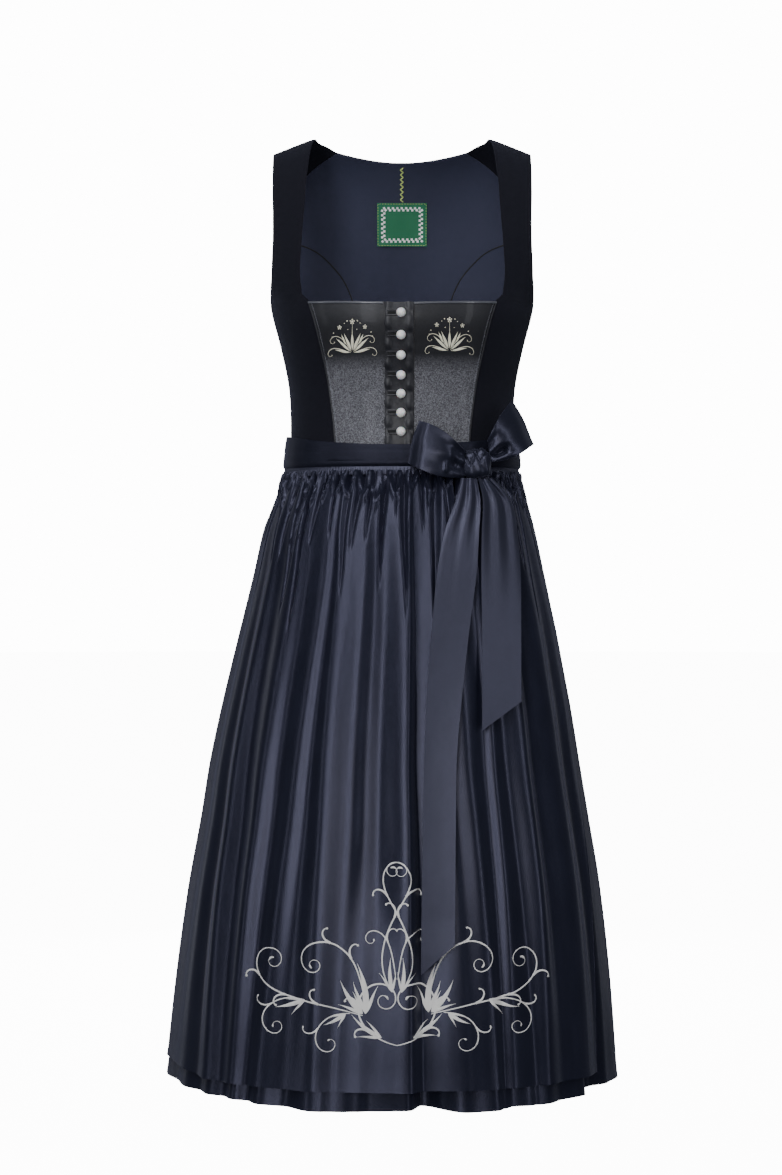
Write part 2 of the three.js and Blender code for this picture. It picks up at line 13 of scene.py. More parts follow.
import bpy
import numpy as np
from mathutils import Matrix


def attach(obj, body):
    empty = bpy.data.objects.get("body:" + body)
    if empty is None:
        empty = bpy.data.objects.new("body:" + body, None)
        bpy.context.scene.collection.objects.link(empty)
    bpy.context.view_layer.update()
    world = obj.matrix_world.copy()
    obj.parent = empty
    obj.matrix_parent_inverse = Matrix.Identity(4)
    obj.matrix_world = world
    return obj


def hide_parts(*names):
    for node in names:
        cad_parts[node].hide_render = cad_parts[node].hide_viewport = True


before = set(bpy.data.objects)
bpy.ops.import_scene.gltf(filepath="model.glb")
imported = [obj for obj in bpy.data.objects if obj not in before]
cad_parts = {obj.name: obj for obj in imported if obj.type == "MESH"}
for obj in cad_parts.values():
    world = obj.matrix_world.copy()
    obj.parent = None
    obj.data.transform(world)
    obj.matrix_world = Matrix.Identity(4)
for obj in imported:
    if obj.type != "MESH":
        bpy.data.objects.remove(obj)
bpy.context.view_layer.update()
MM = 0.001
print("frame nodes:", len(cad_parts))

# %% [markdown]
# ## Camera and studio
#
# A long lens from three metres keeps the dress's proportions. The studio is a pale floor in a
# white room. Satin shows its folds only where a light is mirrored in them, so tall narrow lights
# stand round the dress, and smaller ones light the bodice before and behind and the front.

# %% Camera
EYE = (-13.2, -3000.0, -538.2)
HALF_PICTURE = 705.0
SENSOR = 36.0

bpy.ops.object.select_all(action="DESELECT")
bpy.ops.object.camera_add(location=[value * MM for value in EYE], rotation=(math.pi / 2, 0, 0))
camera = bpy.context.object
camera.name = "camera"
camera.data.sensor_width = SENSOR
camera.data.lens = SENSOR / 2 * -EYE[1] / HALF_PICTURE
camera.data.clip_end = 100
bpy.context.scene.camera = camera
print("lens:", round(camera.data.lens, 1), "mm")

# %% Floor, room and lights
FLOOR_LEVEL = -1.38
WHITE = 14.0


def socket_values(node, values):
    for name, value in values.items():
        node.inputs[name].default_value = value


def add_light(name, place, target, size, power, colour):
    bpy.ops.object.light_add(type="AREA", location=place)
    light = bpy.context.object
    light.name = name
    light.data.shape = "RECTANGLE"
    light.data.size, light.data.size_y = size
    light.data.energy = power
    light.data.color = colour
    direction = np.array(target) - np.array(place)
    yaw = math.atan2(direction[0], -direction[1])
    pitch = math.atan2(math.hypot(direction[0], direction[1]), -direction[2])
    light.rotation_euler = (pitch, 0, yaw + math.pi)
    return light


def room():
    world = bpy.data.worlds.new("studio_room")
    bpy.context.scene.world = world
    world.use_nodes = True
    nodes, links = world.node_tree.nodes, world.node_tree.links
    nodes.clear()
    output = nodes.new("ShaderNodeOutputWorld")
    mix = nodes.new("ShaderNodeMixShader")
    path = nodes.new("ShaderNodeLightPath")
    walls, seen = nodes.new("ShaderNodeBackground"), nodes.new("ShaderNodeBackground")
    socket_values(walls, {"Color": (0.80, 0.86, 1.0, 1), "Strength": 0.09})
    socket_values(seen, {"Color": (1, 1, 1, 1), "Strength": WHITE})
    links.new(path.outputs["Is Camera Ray"], mix.inputs[0])
    links.new(walls.outputs[0], mix.inputs[1])
    links.new(seen.outputs[0], mix.inputs[2])
    links.new(mix.outputs[0], output.inputs[0])


def floor():
    bpy.ops.mesh.primitive_circle_add(
        vertices=64, radius=30, fill_type="NGON", location=(0, 0, FLOOR_LEVEL)
    )
    disc = bpy.context.object
    disc.name = "studio_floor"
    paint = bpy.data.materials.new("studio_floor_paint")
    paint.use_nodes = True
    shader = paint.node_tree.nodes["Principled BSDF"]
    socket_values(shader, {
        "Base Color": (0.9, 0.9, 0.9, 1), "Roughness": 0.9,
        "Emission Color": (1, 1, 1, 1), "Emission Strength": 0.9 * WHITE,
    })
    disc.data.materials.append(paint)
    disc.visible_diffuse = disc.visible_glossy = False


room()
floor()
STRIP_LEVEL, STRIP_HEIGHT = 0.6, 3.9
STRIP_MIDDLE = (0, 0, STRIP_LEVEL)
for name, x, y, width, power in (
    ("key_front_left", -1.0, -3.1, 0.55, 51),
    ("side_left", -2.7, -1.7, 0.30, 16),
    ("fill_right", 2.3, -2.3, 0.35, 29),
    ("side_back_left", -2.5, 1.8, 0.60, 6),
    ("side_back_right", 2.5, 1.8, 0.60, 4),
    ("back", -0.25, 3.2, 0.55, 38),
):
    add_light(name, (x, y, STRIP_LEVEL), STRIP_MIDDLE, (width, STRIP_HEIGHT), power, (0.92, 0.93, 1.0))
add_light("bodice_front", (0.0, -3.2, -0.3), (0, 0, -0.25), (0.9, 0.9), 10, (1.0, 0.98, 0.96))
add_light("bodice_back", (0.0, 3.2, -0.3), (0, 0, -0.25), (0.8, 0.8), 34, (1.0, 0.98, 0.96))
add_light("top_front", (-0.4, -2.0, 2.0), (0, 0, -0.4), (1.8, 1.2), 36, (0.94, 0.95, 1.0))

# %% [markdown]
# ## The dress's measures
#
# The bodice and the skirt are described by sections: how wide and how deep the form is at each
# level, in millimetres. Between the rows the values run smoothly. `read` works on whole arrays at
# once, so a fine mesh costs no more code than a coarse one.

# %% Tables and how they are read


def table(names, rows):
    columns = np.array(rows, dtype=float).T
    return dict(zip(names.split(), columns))


def read(rows, key, value):
    """Every column of the table where the key column has this value, on a smooth curve."""
    sign = 1.0 if rows[key][-1] > rows[key][0] else -1.0
    keys = rows[key] * sign
    value = np.asarray(value, dtype=float) * sign
    i = np.clip(np.searchsorted(keys, value, side="right") - 1, 0, len(keys) - 2)
    before, after = np.maximum(i - 1, 0), np.minimum(i + 2, len(keys) - 1)
    step = keys[i + 1] - keys[i]
    f = np.clip((value - keys[i]) / step, 0, 1)
    rest = 1 - f
    result = {}
    for name, column in rows.items():
        slope_from = (column[i + 1] - column[before]) / (keys[i + 1] - keys[before]) * step
        slope_to = (column[after] - column[i]) / (keys[after] - keys[i]) * step
        result[name] = (
            (1 + 2 * f) * rest**2 * column[i] + f * rest**2 * slope_from
            + f**2 * (3 - 2 * f) * column[i + 1] - f**2 * rest * slope_to
        )
    return result


def lerp(a, b, f):
    return a + (b - a) * f


def smooth(value, low, high):
    f = np.clip((value - low) / (high - low), 0, 1)
    return f * f * (3 - 2 * f)


BODICE_SIDES = table("level side", [
    [0, 190], [-50, 190], [-90, 185], [-130, 178], [-160, 170], [-180, 162.5], [-190, 158.5],
    [-205, 155.5], [-215, 153.5], [-253, 143.5], [-297, 134.5], [-335, 132], [-400, 132.5],
])
BODICE_DEPTHS = table("level front back", [
    [0, 0, 0], [-3, 18, 18], [-10, 34, 35], [-24, 52, 52], [-50, 72, 68], [-85, 88, 80],
    [-125, 102, 88], [-165, 114, 92], [-200, 124, 92], [-225, 128, 90], [-260, 118, 86],
    [-300, 104, 81.5], [-335, 98, 80], [-365, 96, 80], [-400, 96, 80],
])
SKIRT_SECTIONS = table("level side front back shift full", [
    [-357, 133, 96.2, 80, 0, 2.3], [-386, 133.5, 96.5, 80.5, 0, 2.3],
    [-405, 136, 99, 84, -0.5, 2.27], [-425, 142, 108, 92, -0.8, 2.24],
    [-470, 157, 126, 110, -2.2, 2.2], [-523, 169.5, 143, 128, -2, 2.15],
    [-580, 183, 158, 144, -2.5, 2.12], [-633, 194.5, 170, 157, -4, 2.1],
    [-683, 205, 180, 168, -5.3, 2.08], [-745, 216.5, 191, 181, -7, 2.05],
    [-810, 227, 201, 192, -7, 2.05], [-890, 241, 213, 205, -8, 2.05],
    [-1000, 255, 225, 219, -10, 2.05], [-1130, 267, 234, 231, -13, 2.05],
])
NECK_POINT, SHOULDER_FALL, SHOULDER_ROUNDING = 104.0, 0.4, 8.0
BODY_FULLNESS = 2.3


def signed_power(value, power):
    return np.sign(value) * np.abs(value) ** power


def body_point(angle, station):
    """Bodice surface. Stations run down the front (positive) and down the back (negative)."""
    level = -np.abs(station)
    side = read(BODICE_SIDES, "level", level)["side"]
    depths = read(BODICE_DEPTHS, "level", level)
    depth = np.where(station > 0, -depths["front"], depths["back"])
    x = side * signed_power(np.sin(angle), 2 / BODY_FULLNESS)
    y = depth * signed_power(np.cos(angle), 2 / BODY_FULLNESS)
    past = np.abs(x) - NECK_POINT
    fall = SHOULDER_FALL * (past + np.hypot(past, SHOULDER_ROUNDING)) / 2
    return np.stack([x, y, level - fall * smooth(level, -150, -40)], axis=-1)


def body_angle(x, station):
    side = read(BODICE_SIDES, "level", -np.abs(station))["side"]
    share = np.minimum(np.abs(x) / side, 1)
    return np.sign(x) * np.arcsin(share ** (BODY_FULLNESS / 2))


def section_point(level, angle, out):
    """Waist and skirt surface, pushed outwards by out."""
    section = read(SKIRT_SECTIONS, "level", level)
    power = 2 / section["full"]
    depth = np.where(np.cos(angle) > 0, section["front"], section["back"])
    x = section["shift"] + (section["side"] + out) * signed_power(np.sin(angle), power)
    y = -(depth + out) * signed_power(np.cos(angle), power)
    return np.stack([x, y, level + 0 * x], axis=-1)


print("waist round:", round(math.pi * (2 * 133 + 96 + 80) / 2), "mm")

# %% [markdown]
# ## How cloth is made here
#
# Each piece of cloth starts as a flat grid, as woven cloth does. Its points are moved onto the
# form by a function of their place in the cloth, and the Solidify modifier gives the sheet its
# thickness. The grid keeps its UV map, scaled to real size, so a weave follows the cloth.

# %% Grids, walls and joined copies


def deselect():
    bpy.ops.object.select_all(action="DESELECT")


def only(piece):
    deselect()
    piece.select_set(True)
    bpy.context.view_layer.objects.active = piece


def in_edit_mode(piece, action):
    only(piece)
    bpy.ops.object.mode_set(mode="EDIT")
    bpy.ops.mesh.select_all(action="SELECT")
    action()
    bpy.ops.object.mode_set(mode="OBJECT")


def apply_modifiers(piece):
    only(piece)
    for modifier in list(piece.modifiers):
        bpy.ops.object.modifier_apply(modifier=modifier.name)


def coordinates(mesh):
    flat = np.empty(len(mesh.vertices) * 3)
    mesh.vertices.foreach_get("co", flat)
    return flat.reshape(-1, 3)


def normals_of(mesh):
    flat = np.empty(len(mesh.vertices) * 3)
    mesh.vertex_normals.foreach_get("vector", flat)
    return flat.reshape(-1, 3)


def set_coordinates(mesh, points):
    mesh.vertices.foreach_set("co", np.ascontiguousarray(points).ravel())
    mesh.update()


def scale_uv(mesh, width, length):
    layer = mesh.uv_layers.active.data
    flat = np.empty(len(layer) * 2)
    layer.foreach_get("uv", flat)
    flat = flat.reshape(-1, 2) * (width * MM, length * MM)
    layer.foreach_set("uv", flat.ravel())


def shade(piece, angle=50):
    only(piece)
    bpy.ops.object.shade_smooth_by_angle(angle=math.radians(angle))


def own(piece, slot, finish, *nodes):
    """Rides the piece on the frame, gives it its finish and hides the solids it stands for."""
    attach(piece, "root")
    if nodes:
        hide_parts(*nodes)
    piece.data.materials.clear()
    piece.data.materials.append(finish)
    return piece


def cloth(name, grid, shape, flat, thickness, lift=0.0, roll=None, ring=False):
    """A wall of cloth. shape(s, t) gives points in mm; roll sinks the seamed edges a little."""
    deselect()
    bpy.ops.mesh.primitive_grid_add(x_subdivisions=grid[0], y_subdivisions=grid[1], size=1)
    piece = bpy.context.object
    piece.name = piece.data.name = name
    place = coordinates(piece.data)
    s, t = place[:, 0] + 0.5, place[:, 1] + 0.5
    points = shape(s, t)
    set_coordinates(piece.data, points * MM)
    scale_uv(piece.data, *flat)
    outward = points * (0.4, 1, 0) + (0, 0, 40)
    if np.sum(normals_of(piece.data) * outward) < 0:
        in_edit_mode(piece, bpy.ops.mesh.flip_normals)
    rise = np.full(len(s), float(lift))
    for edge, depth in (roll or {}).items():
        across = {"left": s * flat[0], "right": (1 - s) * flat[0],
                  "bottom": t * flat[1], "top": (1 - t) * flat[1]}[edge]
        rise -= depth * np.exp(-(across / 2.2) ** 2)
    points = coordinates(piece.data) + normals_of(piece.data) * rise[:, None] * MM
    set_coordinates(piece.data, points)
    if ring:
        in_edit_mode(piece, lambda: bpy.ops.mesh.remove_doubles(threshold=1e-5))
    wall = piece.modifiers.new("thickness", "SOLIDIFY")
    wall.thickness = thickness * MM
    wall.offset = 1
    wall.use_quality_normals = True
    apply_modifiers(piece)
    shade(piece)
    areas = np.empty(len(piece.data.polygons))
    piece.data.polygons.foreach_get("area", areas)
    print(f"{name}: {len(areas)} faces, {areas.sum() / 2:.4f} square metres of cloth")
    return piece


def surface_frame(shape, s, t, step=1e-3):
    """Points and outward normals of a cloth's shape at places of a pattern that lies on it."""
    point = shape(s, t)
    along = shape(s + step, t) - shape(s - step, t)
    up = shape(s, t + step) - shape(s, t - step)
    normal = np.cross(along, up)
    normal /= np.linalg.norm(normal, axis=-1, keepdims=True) + 1e-12
    return point, normal


def facing_front(normal):
    """The normals, with those that point to the back turned round."""
    return normal * np.where(normal[:, 1:2] > 0, -1, 1)


def mesh_piece(name, points, faces, uv=None):
    """A mesh from points in mm and faces, with its normals turned outwards."""
    mesh = bpy.data.meshes.new(name)
    mesh.from_pydata((np.asarray(points) * MM).tolist(), [], faces)
    piece = bpy.data.objects.new(name, mesh)
    bpy.context.collection.objects.link(piece)
    if uv is not None:
        layer = mesh.uv_layers.new(name="cloth")
        index = np.empty(len(mesh.loops), dtype=int)
        mesh.loops.foreach_get("vertex_index", index)
        layer.data.foreach_set("uv", (np.asarray(uv)[index] * MM).ravel())
    in_edit_mode(piece, lambda: bpy.ops.mesh.normals_make_consistent(inside=False))
    return piece


def stamp(name, model, places):
    """Joined copies of a small closed model (points, faces), one for each place (origin, x, y, z)."""
    points, faces = model
    all_points, all_faces = [], []
    for k, (origin, x, y, z) in enumerate(places):
        all_points.append(origin + points @ np.stack([x, y, z]))
        all_faces += [[corner + k * len(points) for corner in face] for face in faces]
    return mesh_piece(name, np.concatenate(all_points), all_faces)


def unit(vector):
    return vector / (np.linalg.norm(vector, axis=-1, keepdims=True) + 1e-12)


print("cloth tools ready")

# %% [markdown]
# ## Finishes
#
# Every finish is worked out from noise and waves on the cloth's own UV map, in metres, so a
# thread is as wide on a ribbon as on the skirt. A `Finish` keeps the few node calls short. The
# numbers that are the same all over a surface go straight on the shader.

# %% A small helper for materials


class Finish:
    def __init__(self, name, colour, roughness, coordinate="UV", **values):
        self.material = bpy.data.materials.new(name)
        self.material.use_nodes = True
        self.tree = self.material.node_tree
        self.shader = self.tree.nodes["Principled BSDF"]
        socket_values(self.shader, {"Base Color": (*colour, 1), "Roughness": roughness})
        socket_values(self.shader, {key.replace("_", " "): v for key, v in values.items()})
        self.place = self.node("ShaderNodeTexCoord").outputs[coordinate]
        self.relief = None

    def node(self, kind, links=None, **values):
        """A node with values on its sockets (or its own settings), and links into its sockets."""
        node = self.tree.nodes.new(kind)
        for name, value in values.items():
            if name.startswith("set_"):
                setattr(node, name[4:], value)
            else:
                node.inputs[name.replace("_", " ")].default_value = value
        for name, source in (links or {}).items():
            self.tree.links.new(source, node.inputs[name])
        return node

    def stretched(self, across, along, depth=1.0):
        """The cloth's coordinates, scaled so that one unit is this many pieces of a metre."""
        scaled = self.node("ShaderNodeMapping", {"Vector": self.place}, Scale=(across, along, depth))
        return scaled.outputs[0]

    def noise(self, across, along, detail=2.0, roughness=0.5, depth=1.0):
        return self.node(
            "ShaderNodeTexNoise", {"Vector": self.stretched(across, along, depth)},
            Scale=1.0, Detail=detail, Roughness=roughness,
        ).outputs[0]

    def wave(self, across, along, direction="X", distortion=0.0):
        return self.node(
            "ShaderNodeTexWave", {"Vector": self.stretched(across, along)}, set_wave_type="BANDS",
            set_bands_direction=direction, Scale=1.0, Distortion=distortion, Detail=1.0,
        ).outputs[1]

    def blend(self, factor, first, second, low=0.35, high=0.65):
        """A colour that runs from first to second as factor goes from low to high."""
        ramp = self.node("ShaderNodeValToRGB", {"Fac": factor})
        stops = ramp.color_ramp.elements
        stops[0].position, stops[1].position = low, high
        stops[0].color, stops[1].color = (*first, 1), (*second, 1)
        return ramp.outputs[0]

    def colour(self, source):
        self.tree.links.new(source, self.shader.inputs["Base Color"])

    def roughness(self, factor, low, high):
        limits = self.node("ShaderNodeMapRange", {"Value": factor}, To_Min=low, To_Max=high)
        self.tree.links.new(limits.outputs[0], self.shader.inputs["Roughness"])

    def bump(self, height, distance, strength=1.0):
        """Relief of this height in metres, over the relief that is there already."""
        links = {"Height": height}
        if self.relief is not None:
            links["Normal"] = self.relief
        node = self.node("ShaderNodeBump", links, Distance=distance, Strength=strength)
        self.relief = node.outputs[0]
        self.tree.links.new(self.relief, self.shader.inputs["Normal"])


# %% [markdown]
# ## Satin, twill, lining and leather
#
# Satin is a weave whose long threads lie on top. Light slides along them in soft broad bands, so
# it has a middling roughness, a cool tint in its mirror, and thin slubs across. The bodice is a
# matte twill with a fine diagonal. The leather is smooth above and has a coarse glittering
# grain below, with a soft border between the two at one level.

# %% Satin
def satin_finish(name, dark, light, glint, gloss=0.44, rough=0.30):
    satin = Finish(
        name, dark, rough, Specular_IOR_Level=gloss, Specular_Tint=(0.72, 0.73, 1.0, 1),
        Sheen_Weight=0.15, Sheen_Roughness=0.45, Sheen_Tint=(0.55, 0.58, 0.85, 1),
    )
    satin.colour(satin.blend(satin.noise(40, 25, 3), dark, light, 0.3, 0.7))
    satin.roughness(satin.noise(300, 700, 3), rough - 0.04, rough + 0.06)
    satin.bump(satin.noise(24, 5, 2), 0.0014, 0.5)
    satin.bump(satin.noise(650, 800, 3, 0.6), 0.00017, glint)
    satin.bump(satin.wave(1200, 300, "DIAGONAL"), 0.000008, 0.5)
    return satin.material


SKIRT_SATIN = satin_finish("midnight_satin", (0.0060, 0.0068, 0.0135), (0.0095, 0.0105, 0.0200), 0.50)
RIBBON_SATIN = satin_finish(
    "ribbon_satin", (0.0070, 0.0078, 0.0135), (0.0105, 0.0115, 0.0195), 0.15, 0.50, 0.32
)
TAIL_SATIN = satin_finish(
    "tail_satin", (0.0070, 0.0078, 0.0135), (0.0105, 0.0115, 0.0195), 0.30, 0.95, 0.47
)
SASH_SATIN = satin_finish(
    "sash_satin", (0.0060, 0.0066, 0.0115), (0.0090, 0.0098, 0.0160), 0.08, 0.22, 0.45
)
print("satins:", SKIRT_SATIN.name, RIBBON_SATIN.name)

# %% Bodice twill and lining
def twill_finish(name, dark, light, diagonal, sheen, roughness=0.85):
    twill = Finish(
        name, dark, roughness, Sheen_Weight=sheen, Sheen_Roughness=0.5, Specular_IOR_Level=0.2,
        Sheen_Tint=(0.6, 0.65, 0.9, 1),
    )
    fibres = twill.noise(900, 900, 3)
    twill.colour(twill.blend(fibres, dark, light))
    twill.bump(twill.noise(30, 18, 2), 0.0012, 0.35)
    twill.bump(twill.wave(diagonal, diagonal, "DIAGONAL"), 0.00012, 0.6)
    twill.bump(fibres, 0.00008, 0.5)
    return twill.material


BODICE_TWILL = twill_finish(
    "bodice_twill", (0.0042, 0.0042, 0.0082), (0.0070, 0.0070, 0.0122), 620, 0.08
)
LINING_WEAVE = twill_finish(
    "lining_weave", (0.0278, 0.0304, 0.0560), (0.0350, 0.0380, 0.0675), 800, 0.35, 0.6
)
print("weaves:", BODICE_TWILL.name, LINING_WEAVE.name)

# %% Leather, smooth above and glittering below
GRAIN_STARTS = (-0.2880, -0.2680)


def leather_finish():
    leather = Finish("black_leather", (0.012, 0.013, 0.017), 0.5, "Object", Coat_Weight=0.06)
    pores = leather.noise(520, 520, 3, 0.6, 520)
    flakes = leather.node(
        "ShaderNodeTexVoronoi", {"Vector": leather.place}, Scale=1050.0, Randomness=1.0
    )
    level = leather.node("ShaderNodeSeparateXYZ", {"Vector": leather.place}).outputs["Z"]
    low, high = GRAIN_STARTS
    below = leather.node(
        "ShaderNodeMapRange", {"Value": level}, From_Min=high, From_Max=low
    ).outputs[0]
    smooth_colour = leather.blend(pores, (0.0048, 0.0053, 0.0076), (0.0078, 0.0084, 0.0115))
    glitter = leather.blend(flakes.outputs["Color"], (0.038, 0.039, 0.045), (0.206, 0.208, 0.228), 0.25, 0.90)
    mixed = leather.node(
        "ShaderNodeMix", set_data_type="RGBA", set_clamp_factor=True,
    )
    for socket, source in ((0, below), (6, smooth_colour), (7, glitter)):
        leather.tree.links.new(source, mixed.inputs[socket])
    leather.colour(mixed.outputs[2])
    leather.bump(leather.noise(40, 40, 2, 0.5, 40), 0.0012, 0.3)
    leather.bump(pores, 0.00012, 0.5)
    grain = leather.node("ShaderNodeMath", set_operation="MULTIPLY")
    leather.tree.links.new(flakes.outputs["Distance"], grain.inputs[0])
    leather.tree.links.new(below, grain.inputs[1])
    leather.bump(grain.outputs[0], 0.0005, 0.8)
    return leather.material


def plain_leather_finish():
    leather = Finish("placket_leather", (0.014, 0.015, 0.018), 0.45, "Object", Coat_Weight=0.06)
    pores = leather.noise(700, 700, 3, 0.6, 700)
    leather.colour(leather.blend(pores, (0.0100, 0.0106, 0.0138), (0.0165, 0.0172, 0.0215)))
    leather.roughness(leather.noise(90, 90, 2, 0.5, 90), 0.38, 0.52)
    leather.bump(leather.noise(110, 110, 2, 0.5, 70), 0.0012, 0.45)
    leather.bump(pores, 0.0001, 0.5)
    return leather.material


BIB_LEATHER = leather_finish()
PLACKET_LEATHER = plain_leather_finish()
# A glossy cord, coloured much lighter than the leather: painted highlight along the bib's top edge.
CORD_PAINTED_HIGHLIGHT = Finish("cord_painted_highlight", (0.10, 0.105, 0.12), 0.28, Coat_Weight=0.4).material
print("leathers:", BIB_LEATHER.name, PLACKET_LEATHER.name)

# %% [markdown]
# ## Pearl, threads, label and print
#
# A pearl is many clear layers over a pale core: a coat over a soft surface gives that depth. The
# threads are silver cream and carry a twist. The sprays on the bib are a printed foil, with a
# slight metallic gloss.

# %% Small finishes
def pearl_finish():
    pearl = Finish(
        "pearl", (0.93, 0.90, 0.83), 0.22, "Object", Coat_Weight=0.7, Coat_Roughness=0.06,
        Subsurface_Weight=0.15, Subsurface_Scale=0.002, Sheen_Weight=0.2,
    )
    pearl.colour(pearl.blend(pearl.noise(120, 120, 2, 0.5, 120), (0.94, 0.92, 0.86), (1.0, 0.985, 0.95)))
    pearl.bump(pearl.noise(400, 400, 2, 0.5, 400), 0.00004, 0.4)
    return pearl.material


def satin_stitch_finish(name, dark, light):
    """Threads laid side by side across a line, on the UV map that runs along it."""
    stitch = Finish(name, light, 0.42, Sheen_Weight=0.6)
    threads = stitch.wave(30, 520, "Y", 2.0)
    stitch.colour(stitch.blend(threads, dark, light, 0.05, 0.6))
    stitch.bump(threads, 0.00025, 0.8)
    return stitch.material


def thread_finish(name, dark, light, metallic=0.0, roughness=0.45):
    thread = Finish(name, dark, roughness, "Object", Metallic=metallic, Sheen_Weight=0.3)
    twist = thread.noise(1300, 1300, 2, 0.5, 1300)
    thread.colour(thread.blend(twist, dark, light, 0.3, 0.6))
    thread.bump(twist, 0.0002, 0.6)
    return thread.material


def label_finish():
    label = Finish("label_weave", (0.03, 0.17, 0.075), 0.8, Sheen_Weight=0.2)
    ribs = label.wave(10, 520, "Y")
    label.colour(label.blend(ribs, (0.010, 0.135, 0.058), (0.024, 0.220, 0.100), 0.2, 0.8))
    label.bump(ribs, 0.0001, 0.8)
    label.bump(label.wave(520, 10, "X"), 0.00006, 0.6)
    return label.material


PEARL = pearl_finish()
SILVER_THREAD = satin_stitch_finish("silver_cream_thread", (0.84, 0.82, 0.75), (1.0, 0.985, 0.93))
GREY_THREAD = thread_finish("grey_thread", (0.16, 0.165, 0.19), (0.30, 0.31, 0.35))
GREEN_THREAD = thread_finish("green_thread", (0.42, 0.56, 0.10), (0.72, 0.84, 0.28))
WHITE_THREAD = thread_finish("white_thread", (0.92, 0.94, 0.90), (0.98, 0.98, 0.96))
FOIL = thread_finish("pale_gold_foil", (0.76, 0.71, 0.47), (1.0, 0.97, 0.77), 0.05, 0.35)
# A near-black finish of painted shade, for the lines along the lining's seams, along the placket's edge and
# in the buttonhole openings.
PAINTED_SHADE = thread_finish("painted_shade", (0.003, 0.003, 0.004), (0.005, 0.005, 0.006), 0, 0.9)
LABEL_WEAVE = label_finish()
print("finishes:", len(bpy.data.materials))

# %% [markdown]
# ## Tools for trims
#
# Piping and embroidery are thin raised lines on the cloth. `bead` sweeps a flattened ring along a
# path, as wide at each point as it is told, and closes both ends. Stitches are one small bead,
# copied along a line.

# %% Beads and stitches


def resample(path, count):
    path = np.asarray(path, dtype=float)
    lengths = np.concatenate([[0], np.cumsum(np.linalg.norm(np.diff(path, axis=0), axis=1))])
    wanted = np.linspace(0, lengths[-1], count)
    return np.stack([np.interp(wanted, lengths, path[:, k]) for k in range(path.shape[1])], axis=1)


def bead(path, normals, widths, height=0.5, sides=6):
    """A raised bead along a path in mm: half width at each point, height as a share of it."""
    along = unit(np.gradient(path, axis=0))
    across = unit(np.cross(normals, along))
    up = unit(np.cross(along, across))
    turn = np.linspace(0, 2 * np.pi, sides, endpoint=False)
    ring = (
        across[:, None] * np.cos(turn)[None, :, None]
        + up[:, None] * (np.sin(turn) * height)[None, :, None]
    )
    points = path[:, None] + ring * np.asarray(widths)[:, None, None]
    count = len(path)
    faces = [
        [i * sides + j, i * sides + (j + 1) % sides, (i + 1) * sides + (j + 1) % sides, (i + 1) * sides + j]
        for i in range(count - 1) for j in range(sides)
    ]
    faces += [list(range(sides))[::-1], [(count - 1) * sides + j for j in range(sides)]]
    return points.reshape(-1, 3), faces


def joined(name, models, sides=None):
    """One mesh from several (points, faces) models. With sides, beads get a UV map along them."""
    points, faces, places, start = [], [], [], 0
    for model_points, model_faces in models:
        points.append(model_points)
        faces += [[corner + start for corner in face] for face in model_faces]
        start += len(model_points)
        if sides:
            middle = model_points.reshape(-1, sides, 3).mean(axis=1)
            steps = np.linalg.norm(np.diff(middle, axis=0), axis=1)
            along = np.repeat(np.concatenate([[0], np.cumsum(steps)]), sides)
            places.append(np.stack([np.tile(np.arange(sides), len(middle)), along], axis=1))
    return mesh_piece(name, np.concatenate(points), faces, np.concatenate(places) if sides else None)


def stitch_bead(length, width, height=0.7):
    """One stitch: a short bead with thin ends, along +X, with its foot at the origin."""
    x = np.linspace(-length / 2, length / 2, 5)
    path = np.stack([x, 0 * x, height * width * (1 - (2 * x / length) ** 2)], axis=1)
    up = np.tile([0.0, 0, 1], (5, 1))
    return bead(path, up, width * np.array([0.45, 0.9, 1, 0.9, 0.45]), height, 6)


def square_tuft(side, height=0.35):
    """A flat square of threads, side mm wide, with its foot at the origin."""
    ends = (-side / 2, side / 2)
    corners = np.meshgrid(ends, ends, (0, height), indexing="ij")
    faces = [[0, 1, 3, 2], [4, 6, 7, 5], [0, 4, 5, 1], [2, 3, 7, 6], [0, 2, 6, 4], [1, 5, 7, 3]]
    return np.stack([corner.ravel() for corner in corners], axis=1), faces


def stitches(name, path, normals, length, gap, width, turn=0.0, lift=0.0, side=0.0, model=None):
    """Stitches along a path. turn swings each one from the path, in degrees."""
    total = np.sum(np.linalg.norm(np.diff(path, axis=0), axis=1))
    count = max(int(total / (length + gap)), 1)
    both = resample(np.concatenate([path, normals], axis=1), count * 4 + 1)[2::4]
    place, normal = both[:, :3], unit(both[:, 3:])
    along = unit(np.gradient(place, axis=0))
    across = unit(np.cross(normal, along))
    swing = math.radians(turn)
    places = []
    for k in range(len(place)):
        sign = 1 if k % 2 else -1
        x = along[k] * math.cos(swing) + across[k] * math.sin(swing) * (sign if turn else 1)
        y = np.cross(normal[k], x)
        origin = place[k] + normal[k] * lift + across[k] * side * sign
        places.append((origin, x, y, normal[k]))
    return stamp(name, model or stitch_bead(length, width), places)


print("trim tools ready")

# %% [markdown]
# ## The bodice
#
# A fitted bodice is sewn from panels whose edges carry its shape. Each panel's rows give, from
# the waist up, where its inner and outer edges run on the body. The side panels of the front go
# right over the shoulder to the seam behind it. The edges sink slightly, where a seam draws the
# cloth in.

